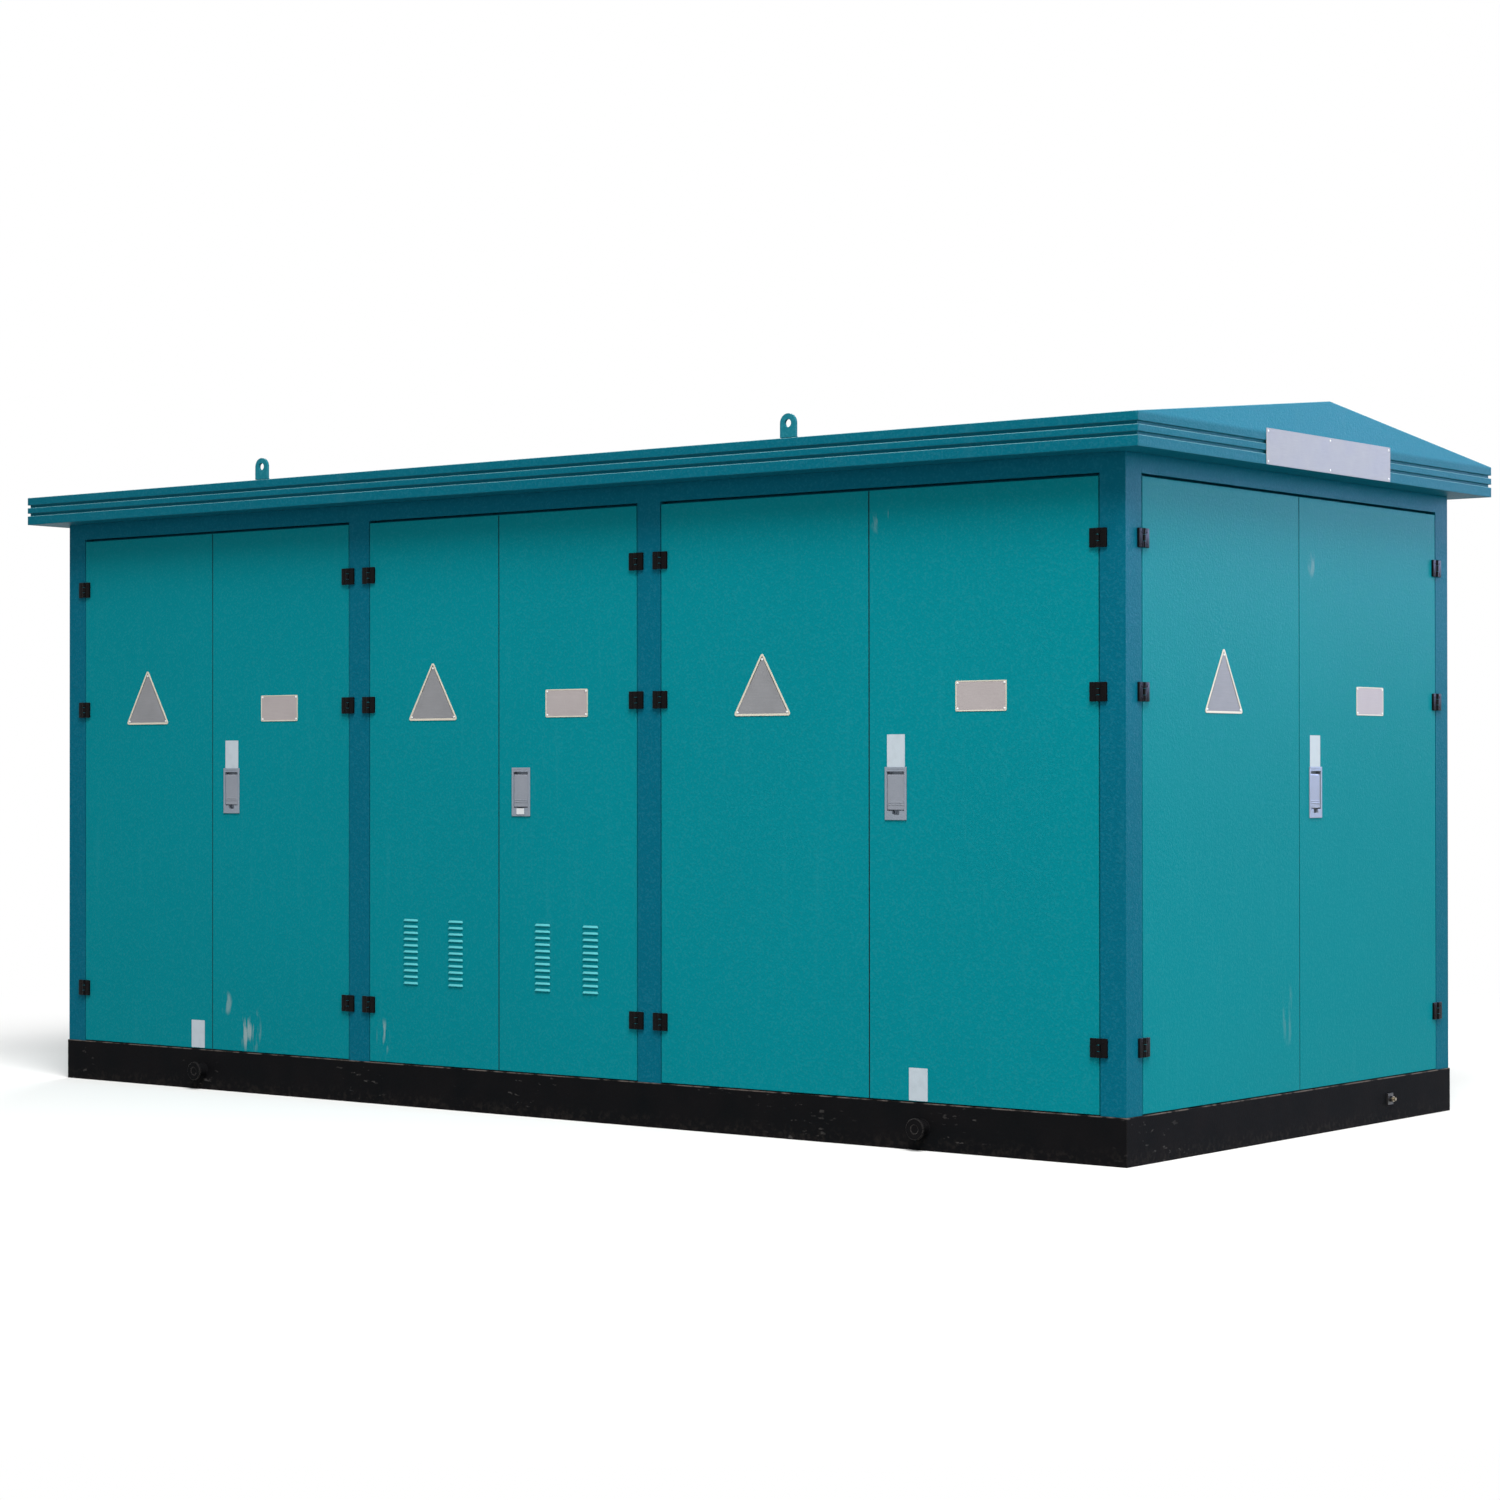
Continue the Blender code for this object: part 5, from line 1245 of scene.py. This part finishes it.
pocket = (cover_middle.x, pocket_y, cover_high.z + seat_gap)
fit(turned("thermometer_pocket", 24, [
    (0.014, 0), (0.014, 0.010), (0.009, 0.012), (0.009, 0.030), (0.012, 0.032), (0.012, 0.040)],
    Matrix.Translation(pocket)), "enclosure", brass)
dial("tank_thermometer", 0.044, 0.024,
     Matrix.Translation(Vector(pocket) + Vector((0, 0.012, gauge_up))) @ OUTWARDS, 65)

tank_front = cover_low.y + overhang
drain = Matrix.Translation((cover_middle.x, tank_front - seat_gap, tank_top - drain_down))
drain = drain @ OUTWARDS
valve = turned("drain_valve", 32, [
    (0.022, 0), (0.022, 0.006), (0.014, 0.008), (0.014, 0.024), (0.019, 0.027), (0.019, 0.043),
    (0.014, 0.046), (0.014, 0.058), (0.018, 0.060), (0.018, 0.070), (0.016, 0.072)])
spindle = turned("spindle", 16, [(0.010, 0.012), (0.010, 0.028), (0.004, 0.030), (0.004, 0.049)],
                 Matrix.Translation((0, 0, spindle_out)) @ Matrix.Rotation(-math.pi / 2, 4, "X"))
valve = combined(valve, "UNION", spindle)
valve.data.transform(drain)
fit(valve, "enclosure", brass)
bpy.ops.object.select_all(action="DESELECT")
bpy.ops.mesh.primitive_torus_add(major_segments=40, minor_segments=10, major_radius=0.024,
                                 minor_radius=0.0035)
wheel = bpy.context.object
for turn in (0, 60, 120):
    spoke = block("spoke", (-0.024, -0.0025, -0.0018), (0.024, 0.0025, 0.0018), 0.0008)
    spoke.data.transform(Matrix.Rotation(math.radians(turn), 4, "Z"))
    wheel = combined(wheel, "UNION", spoke)
wheel = combined(wheel, "UNION", turned("boss", 20, [
    (0.006, -0.003), (0.007, -0.002), (0.007, 0.003), (0.005, 0.005)]))
wheel.name = wheel.data.name = "drain_wheel"
wheel.data.transform(drain @ Matrix.Translation((0, wheel_up, spindle_out))
                     @ Matrix.Rotation(-math.pi / 2, 4, "X"))
fit(wheel, "enclosure", black_plastic)


# ---- core and windings ---------------------------------------------------------------------
# Stacked grain-oriented sheet, blued at its cut edges, inside round coils of varnished copper
# whose turns show as fine ridges.
def core_finish():
    """The edges of stacked sheet: a blued film and dark gaps."""
    material, place = new_material("stacked_core_steel")
    lamination = axis_of(place, 0) / 0.0012
    gap = abs(lamination % 1 - 0.5).between(0.36, 0.48)
    film = noise(place, 12.0, 4.0)
    tone = mixed(film, (0.16, 0.18, 0.22), (0.30, 0.30, 0.31))
    return shade(material, {
        "Base Color": mixed(gap * 0.7, tone, (0.03, 0.03, 0.04)), "Metallic": 0.85,
        "Roughness": 0.36 + 0.2 * film, "Normal": raised(place, 1 - gap, 0.0003)})


def winding_finish():
    """Varnished copper whose turns stand out as ridges."""
    material, place = new_material("varnished_copper_turns")
    turn = axis_of(place, 2) / 0.0065
    ridge = 1 - abs(turn % 1 - 0.5) * 2
    varnish = noise(place, 24.0, 4.0)
    tone = mixed(varnish, (0.230, 0.075, 0.022), (0.420, 0.165, 0.055))
    return shade(material, {
        "Base Color": mixed((1 - ridge).between(0.7, 1.0) * 0.8, tone, (0.045, 0.018, 0.008)),
        "Metallic": 0.25, "Roughness": 0.24 + 0.2 * varnish, "Normal": raised(place, ridge, 0.0016)})


dress(["core"], core_finish())
dress(["winding_a", "winding_b", "winding_c"], winding_finish())


# ---- high-voltage bushings -----------------------------------------------------------------
# Brown glazed porcelain turned with three sheds, clamped to the cover by four bolts each, with
# a threaded brass stud and a pair of nuts on top.
def glaze():
    """Brown glaze, thicker in places, with dark specks."""
    material, place = new_material("brown_porcelain_glaze")
    pool = noise(place, 22.0, 3.0, (1.0, 1.0, 0.4))
    speck = noise(place, 340.0, 2.0).between(0.66, 0.74)
    tone = mixed(pool, (0.105, 0.028, 0.015), (0.215, 0.066, 0.033))
    return shade(material, {
        "Base Color": mixed(speck * 0.5, tone, (0.050, 0.016, 0.010)),
        "Roughness": 0.10 + 0.08 * pool, "Specular IOR Level": 0.4, "Coat Weight": 0.4,
        "Normal": raised(place, pool, 0.0012)})


brown_glaze = glaze()
shed_pitch, first_underside, foot, body = 0.058, 0.1015, 0.058, 0.032
outline = [(foot - 0.002, 0.0003), (foot, 0.003), (foot, 0.044), (foot - 0.003, 0.050),
           (foot - 0.010, 0.055), (body + 0.003, 0.060), (body, 0.066)]
for shed in range(3):
    underside = first_underside + shed * shed_pitch
    outline += [(body, underside - 0.002), (body + 0.002, underside), (0.052, underside + 0.0075),
                (0.0565, underside + 0.0100), (0.058, underside + 0.0125),
                (0.0565, underside + 0.0152), (0.050, underside + 0.0200),
                (body + 0.004, underside + 0.0330), (body, underside + 0.0420)]
outline += [(body, 0.261), (body - 0.004, 0.265), (0.018, 0.266)]
clamp_radius, clamp = 0.070, hex_bolt("clamp", 0.0065, 0.0070)
for phase in "abc":
    node = f"hv_bushing_{phase}"
    low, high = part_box(node)
    seat = Matrix.Translation(((low.x + high.x) / 2, (low.y + high.y) / 2, low.z))
    porcelain = turned(f"{node}_porcelain", 64, outline, seat, 50)
    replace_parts(fit(porcelain, "enclosure", brown_glaze), node)
    stud = turned("stud", 24, [(0.016, 0.2663), (0.016, 0.270), (0.0080, 0.2705), (0.0080, 0.2890),
                               (0.0070, 0.2900)], seat)
    nuts = [turned("nut", 6, [(0.0125, z), (0.0135, z + 0.0006), (0.0135, z + 0.0055),
                              (0.0125, z + 0.0061)], seat) for z in (0.2710, 0.2775)]
    fit(gathered(f"{node}_stud", [stud] + nuts), "enclosure", brass)
    clamps = [again(clamp, "clamp", seat @ Matrix.Translation((
        clamp_radius * math.cos(math.radians(turn)), clamp_radius * math.sin(math.radians(turn)), 0)))
        for turn in (45, 135, 225, 315)]
    fit(gathered(f"{node}_clamps", clamps), "enclosure", zinc)
bpy.data.objects.remove(clamp)


# ---- low-voltage terminals -----------------------------------------------------------------
# A red-brown cast resin block brings four tinned copper palms out through the cover; each
# palm has two bolts for its busbar.
def terminal_finish(resin_top):
    """Cast resin, and tinned copper above resin_top."""
    material, place = new_material("resin_and_tinned_copper")
    tinned = (axis_of(place, 2) - resin_top) > 0
    cloud = noise(place, 40.0, 3.0)
    resin = mixed(cloud, (0.230, 0.062, 0.042), (0.310, 0.092, 0.062))
    tin = mixed(cloud, (0.460, 0.450, 0.430), (0.620, 0.610, 0.590))
    return shade(material, {
        "Base Color": mixed(tinned, resin, tin), "Metallic": tinned * 0.9,
        "Roughness": 0.32 + 0.2 * cloud, "Normal": raised(place, cloud, 0.0004)})


low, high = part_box("lv_terminal_block")
palm_tall, palm_half, palm_pitch, palms, bolts_down = 0.119, 0.006, 0.130, 4, (0.028, 0.068)
dress(["lv_terminal_block"], terminal_finish(high.z - palm_tall))
sideways = Matrix.Rotation(math.pi / 2, 4, "Y")
palm_bolts = [
    hex_bolt("palm_bolt", 0.0080, 0.0085, Matrix.Translation((
        (low.x + high.x) / 2 + palm_half, (i - (palms - 1) / 2) * palm_pitch, high.z - down))
        @ sideways)
    for i in range(palms) for down in bolts_down]
fit(gathered("lv_palm_bolts", palm_bolts), "enclosure", zinc)


# ---- ring main unit ------------------------------------------------------------------------
# Three cubicles in pale grey enamel.  Each door has a T-handle, hinges and a window, the outer
# ones an operating socket and three indicator lamps; the middle one has the rotary selector.
def cabinet_enamel(name, dark, light, moulding_face=None):
    """Smooth enamel; whatever stands out past moulding_face is a dark moulding."""
    material, place = new_material(name)
    rounded, edge = worn_edges(place, 0.0016)
    clouds = noise(place, 1.8, 3.0)
    grain = noise(place, 260.0, 2.0)
    scuffs = noise(place, 18.0, 5.0, (1.0, 1.0, 0.5)).between(0.66, 0.74)
    tone = mixed(clouds, dark, light)
    tone = mixed(scuffs * 0.18, tone, [channel * 0.5 for channel in dark])
    tone = mixed(edge * 0.30, tone, [min(1.0, channel * 1.3) for channel in light])
    if moulding_face is not None:
        moulding = axis_of(place, 1) < moulding_face
        tone = mixed(moulding, tone, mixed(grain, (0.020, 0.021, 0.023), (0.034, 0.035, 0.037)))
    return shade(material, {
        "Base Color": tone, "Roughness": 0.34 + 0.12 * clouds, "Specular IOR Level": 0.25,
        "Normal": raised(place, grain, 0.0005, rounded)})


def t_handle(front_face, x, z):
    """A swing handle on its oblong escutcheon."""
    spot = front_face @ Matrix.Translation((x, -seat_gap, z))
    base = block("handle", (-0.016, -0.006, -0.060), (0.016, 0, 0.060), 0.004, 3)
    grip = block("grip", (-0.009, -0.020, -0.050), (0.009, -0.0055, 0.034), 0.004, 3)
    neck = turned("neck", 24, [(0.012, 0.004), (0.012, 0.018), (0.009, 0.021)],
                  Matrix.Translation((0, 0, 0.030)) @ OUTWARDS)
    made = combined(combined(base, "UNION", grip), "UNION", neck)
    made.data.transform(spot)
    return made


def small_hinge(front_face, x, z):
    """A plain barrel hinge on a cabinet's front."""
    return turned("small_hinge", 16, [(0.0050, -0.032), (0.0065, -0.030), (0.0065, 0.030),
                                      (0.0050, 0.032)],
                  front_face @ Matrix.Translation((x, -0.0070, z)))


unit_low, unit_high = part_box("ring_main_unit")
boss_reach, unit_doors = 0.012, 3
unit_face = Matrix.Translation((0, unit_low.y + boss_reach, 0))
dress(["ring_main_unit"],
      cabinet_enamel("pale_grey_enamel", (0.50, 0.51, 0.49), (0.58, 0.59, 0.57)))
unit_pitch = (unit_high.x - unit_low.x) / unit_doors
unit_floor = unit_low.z
smoked_glass = plain_finish("smoked_window", (0.018, 0.022, 0.024), (0.030, 0.035, 0.038), 0.06)
lamp_red = plain_finish("red_lamp_lens", (0.30, 0.012, 0.010), (0.42, 0.022, 0.016), 0.12)
lamp_green = plain_finish("green_lamp_lens", (0.010, 0.20, 0.045), (0.020, 0.30, 0.075), 0.12)


def lamp(front_face, x, z):
    """The domed lens of an indicator lamp."""
    return turned("lamp", 24, [(0.0085, 0.0033), (0.0085, 0.0060), (0.0070, 0.0095),
                               (0.0040, 0.0118), (0.0015, 0.0125)],
                  front_face @ Matrix.Translation((x, 0, z)) @ OUTWARDS, 60)


def lamp_ring(front_face, x, z):
    """The plated ring that holds a lens."""
    return turned("ring", 24, [(0.0120, 0.0003), (0.0125, 0.0010), (0.0125, 0.0026), (0.0110, 0.0033)],
                  front_face @ Matrix.Translation((x, 0, z)) @ OUTWARDS)


handle_in, handle_up, hinge_in, hinge_pitch = 0.045, 0.86, 0.010, 0.60
window_foot, window_top, window_half = 0.42, 0.62, 0.075
lamps_up, lamp_pitch, socket_up, unit_gauge_up = 1.10, 0.045, 1.28, 1.46
unit_handles, unit_hinges, windows, lamps, rings, sockets = [], [], [], [], [], []
for i in range(unit_doors):
    door_left, door_middle = (unit_low.x + unit_pitch * (i + share) for share in (0, 0.5))
    unit_handles.append(t_handle(unit_face, door_left + unit_pitch - handle_in,
                                 unit_floor + handle_up))
    unit_hinges += [small_hinge(unit_face, door_left + hinge_in, unit_floor + z)
                    for z in (handle_up - hinge_pitch, handle_up, handle_up + hinge_pitch)]
    window = block("window", (door_middle - window_half, -0.0080, unit_floor + window_foot),
                   (door_middle + window_half, -seat_gap, unit_floor + window_top), 0.004, 3)
    picked(window, lambda normal: normal.y < -0.9)
    bpy.ops.mesh.inset(thickness=0.012)
    bpy.ops.transform.translate(value=(0, 0.005, 0))
    bpy.ops.object.mode_set(mode="OBJECT")
    window.data.transform(unit_face)
    windows.append(window)
    if i != unit_doors // 2:
        sockets.append(turned("socket", 40, [
            (0.046, 0.0003), (0.048, 0.002), (0.048, 0.008), (0.045, 0.010), (0.017, 0.010),
            (0.015, 0.003)], unit_face @ Matrix.Translation((door_middle, 0, unit_floor + socket_up))
            @ OUTWARDS))
        for x in (-lamp_pitch, 0, lamp_pitch):
            lamps.append(lamp(unit_face, door_middle + x, unit_floor + lamps_up))
            rings.append(lamp_ring(unit_face, door_middle + x, unit_floor + lamps_up))
fit(gathered("ring_main_handles", unit_handles), "enclosure", black_plastic)
fit(gathered("ring_main_hinges", unit_hinges), "enclosure", zinc)
fit(gathered("ring_main_windows", windows), "enclosure", smoked_glass)
fit(gathered("ring_main_lamps", lamps), "enclosure", lamp_red)
fit(gathered("ring_main_lamp_rings", rings), "enclosure", zinc)
fit(gathered("ring_main_sockets", sockets), "enclosure", black_plastic)
dial("ring_main_gauge", 0.040, 0.018, unit_face @ Matrix.Translation(
    (unit_low.x + unit_pitch / 2, -seat_gap, unit_floor + unit_gauge_up)) @ OUTWARDS, -35)

# The selector is a moulded lever on a round hub that turns in front of its boss.
low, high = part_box("ring_main_selector")
hub, hub_deep = (high.x - low.x) / 2, high.y - low.y
pivot_height = high.z - hub
grip_half, grip_deep, grip_long = 0.014, 0.016, pivot_height - low.z
knob = turned("selector_handle", 48, [
    (hub, 0), (hub, hub_deep - 0.004), (hub - 0.004, hub_deep), (hub * 0.45, hub_deep),
    (hub * 0.42, hub_deep - 0.002)])
lever = block("lever", (-grip_half, -grip_long, hub_deep - grip_deep),
              (grip_half, 0, hub_deep - 0.0004), 0.0045, 3)
knob = combined(knob, "UNION", lever)
knob.data.transform(Matrix.Translation(((low.x + high.x) / 2, high.y, pivot_height)) @ OUTWARDS)
knob = fit(smoothed(knob), "ring_main_selector", black_plastic)
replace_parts(knob, "ring_main_selector")


# ---- low-voltage board ---------------------------------------------------------------------
# A two-door board in pebble-grey sheet steel: three blank meters and the air circuit breaker
# on the left door, indicator lamps and four outgoing breakers on the right one.
board_low, board_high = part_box("lv_switchboard")
breaker_reach, ear_reach, board_doors = 0.100, 0.026, 2
board_front = board_low.y + breaker_reach + ear_reach
board_face = Matrix.Translation((0, board_front, 0))
dress(["lv_switchboard"], cabinet_enamel("pebble_grey_enamel", (0.40, 0.41, 0.38),
                                         (0.47, 0.48, 0.45), board_front - 0.0015))
board_pitch, board_floor = (board_high.x - board_low.x) / board_doors, board_low.z
grip_in, grip_up, board_hinge_pitch = 0.050, 0.95, 0.70
handles, board_hinges = [], []
for i in range(board_doors):
    door_left = board_low.x + board_pitch * i
    handles.append(t_handle(board_face, door_left + board_pitch - grip_in, board_floor + grip_up))
    board_hinges += [small_hinge(board_face, door_left + hinge_in, board_floor + z)
                     for z in (grip_up - board_hinge_pitch, grip_up, grip_up + board_hinge_pitch)]
fit(gathered("board_handles", handles), "enclosure", black_plastic)
fit(gathered("board_hinges", board_hinges), "enclosure", zinc)

meter_half, meter_pitch, meters_up, needle_pivot = 0.048, 0.130, 1.70, 0.022
board_lamps_up, board_lamps_apart = 1.72, 0.14
left_door, right_door = (board_low.x + board_pitch * (i + 0.5) for i in range(board_doors))
cases, faces, needles = [], [], []
for i in range(3):
    spot = board_face @ Matrix.Translation((left_door + (i - 1) * meter_pitch, -seat_gap,
                                            board_floor + meters_up))
    case = block("case", (-meter_half, -0.014, -meter_half), (meter_half, 0, meter_half), 0.003, 3)
    picked(case, lambda normal: normal.y < -0.9)
    bpy.ops.mesh.inset(thickness=0.005)
    bpy.ops.transform.translate(value=(0, 0.004, 0))
    bpy.ops.object.mode_set(mode="OBJECT")
    case.data.transform(spot)
    cases.append(case)
    face = block("face", (-meter_half + 0.009, -0.0108, -meter_half + 0.030),
                 (meter_half - 0.009, -0.0100, meter_half - 0.009), 0.0003, 1)
    face.data.transform(spot)
    faces.append(face)
    needle = block("needle", (-0.0009, -0.0118, -meter_half + 0.026),
                   (0.0009, -0.0112, meter_half - 0.018), 0.0002, 1)
    needle.data.transform(spot @ Matrix.Translation((0, 0, -needle_pivot))
                          @ Matrix.Rotation(math.radians(-40 + 6 * i), 4, "Y")
                          @ Matrix.Translation((0, 0, needle_pivot)))
    needles.append(needle)
fit(gathered("meter_cases", cases), "enclosure", black_plastic)
fit(gathered("meter_faces", faces), "enclosure", white_enamel)
fit(gathered("meter_needles", needles), "enclosure", black_plastic)

for colour, lens, side in (("red", lamp_red, -1), ("green", lamp_green, 1)):
    where = (board_face, right_door + side * board_lamps_apart / 2, board_floor + board_lamps_up)
    glass = lamp(*where)
    glass.name = glass.data.name = f"board_{colour}_lamp"
    fit(glass, "enclosure", lens)
    ring = lamp_ring(*where)
    ring.name = ring.data.name = f"board_{colour}_lamp_ring"
    fit(ring, "enclosure", zinc)

feeder_count, feeder_pitch, feeders_up = 4, 0.130, 1.36
feeders, toggles = [], []
for i in range(feeder_count):
    x = right_door + (i - (feeder_count - 1) / 2) * feeder_pitch
    spot = board_face @ Matrix.Translation((x, -seat_gap, board_floor + feeders_up))
    body = block("feeder", (-0.040, -0.034, -0.075), (0.040, 0, 0.075), 0.003, 3)
    step = block("step", (-0.024, -0.044, -0.038), (0.024, -0.030, 0.038), 0.003, 3)
    body = combined(body, "UNION", step)
    slot = block("slot", (-0.009, -0.060, -0.024), (0.009, -0.036, 0.024), 0.001)
    body = combined(body, "DIFFERENCE", slot)
    body.data.transform(spot)
    feeders.append(body)
    toggle = block("toggle", (-0.0065, -0.062, -0.006), (0.0065, -0.037, 0.006), 0.002, 3)
    toggle.data.transform(spot @ Matrix.Rotation(math.radians(-18), 4, "X"))
    toggles.append(toggle)
grey_moulding = plain_finish("grey_moulding", (0.060, 0.062, 0.066), (0.085, 0.088, 0.092), 0.40)
fit(gathered("feeder_breakers", feeders), "enclosure", grey_moulding)
fit(gathered("feeder_toggles", toggles), "enclosure", black_plastic)

# The main breaker's lever is a ribbed toggle on a barrel between two ears.
low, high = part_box("main_breaker_lever")
barrel = (high.z - low.z) / 2
toggle_half, pivot_y = (high.x - low.x) / 2, high.y - barrel
reach, toggle_thick = pivot_y - low.y, 0.018
handle = turned("breaker_toggle", 32, [
    (barrel - 0.0015, -toggle_half), (barrel, -toggle_half + 0.0015),
    (barrel, toggle_half - 0.0015), (barrel - 0.0015, toggle_half)], Matrix.Rotation(
        math.pi / 2, 4, "Y"))
grip = block("grip", (-toggle_half + 0.001, -reach, -toggle_thick / 2),
             (toggle_half - 0.001, 0, toggle_thick / 2), 0.004, 3)
handle = combined(handle, "UNION", grip)
grip_grooves, groove_start, groove_pitch, groove_wide = 5, 0.014, 0.010, 0.004
for i in range(grip_grooves):
    for side in (-1, 1):
        start = -reach + groove_start + groove_pitch * i
        groove = block("groove", (-toggle_half, start, -0.0015),
                       (toggle_half, start + groove_wide, 0.0015), 0.0008)
        groove.data.transform(Matrix.Translation((0, 0, side * toggle_thick / 2)))
        handle = combined(handle, "DIFFERENCE", groove)
handle.data.transform(Matrix.Translation(((low.x + high.x) / 2, pivot_y, (low.z + high.z) / 2)))
handle = fit(smoothed(handle), "main_breaker_lever", black_plastic)
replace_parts(handle, "main_breaker_lever")

# Its body carries a raised surround round the toggle and a screwed terminal cover at each end,
# with a groove between one pole and the next.
breaker_face = Matrix.Translation(((low.x + high.x) / 2, board_low.y + ear_reach,
                                   (low.z + high.z) / 2))
cover_half, cover_foot, cover_top, proud, pole_pitch = 0.138, 0.118, 0.198, 0.0045, 0.092
surround = block("surround", (-0.062, -proud, -0.100), (0.062, -seat_gap, 0.100), 0.002)
window = block("window", (-0.044, -2 * proud, -0.082), (0.044, proud, 0.082), 0.004, 3)
mouldings = [combined(surround, "DIFFERENCE", window)]
screws = []
for end in (-1, 1):
    cover = block("cover", (-cover_half, -proud, min(end * cover_foot, end * cover_top)),
                  (cover_half, -seat_gap, max(end * cover_foot, end * cover_top)), 0.002)
    for side in (-1, 1):
        groove = block("groove", (side * pole_pitch / 2 - 0.0012, -2 * proud, -cover_top - 0.01),
                       (side * pole_pitch / 2 + 0.0012, -proud + 0.002, cover_top + 0.01))
        cover = combined(cover, "DIFFERENCE", groove)
        screws.append(turned("screw", 16, [(0.0042, 0), (0.0042, 0.0008), (0.0030, 0.0018),
                                           (0.0012, 0.0018), (0.0010, 0.0010)],
                             breaker_face @ Matrix.Translation((
                                 side * (cover_half - 0.016), -proud,
                                 end * (cover_foot + cover_top) / 2)) @ OUTWARDS))
    mouldings.append(cover)
cover = gathered("main_breaker_mouldings", mouldings)
cover.data.transform(breaker_face)
fit(cover, "enclosure", grey_moulding)
fit(gathered("main_breaker_screws", screws), "enclosure", zinc)
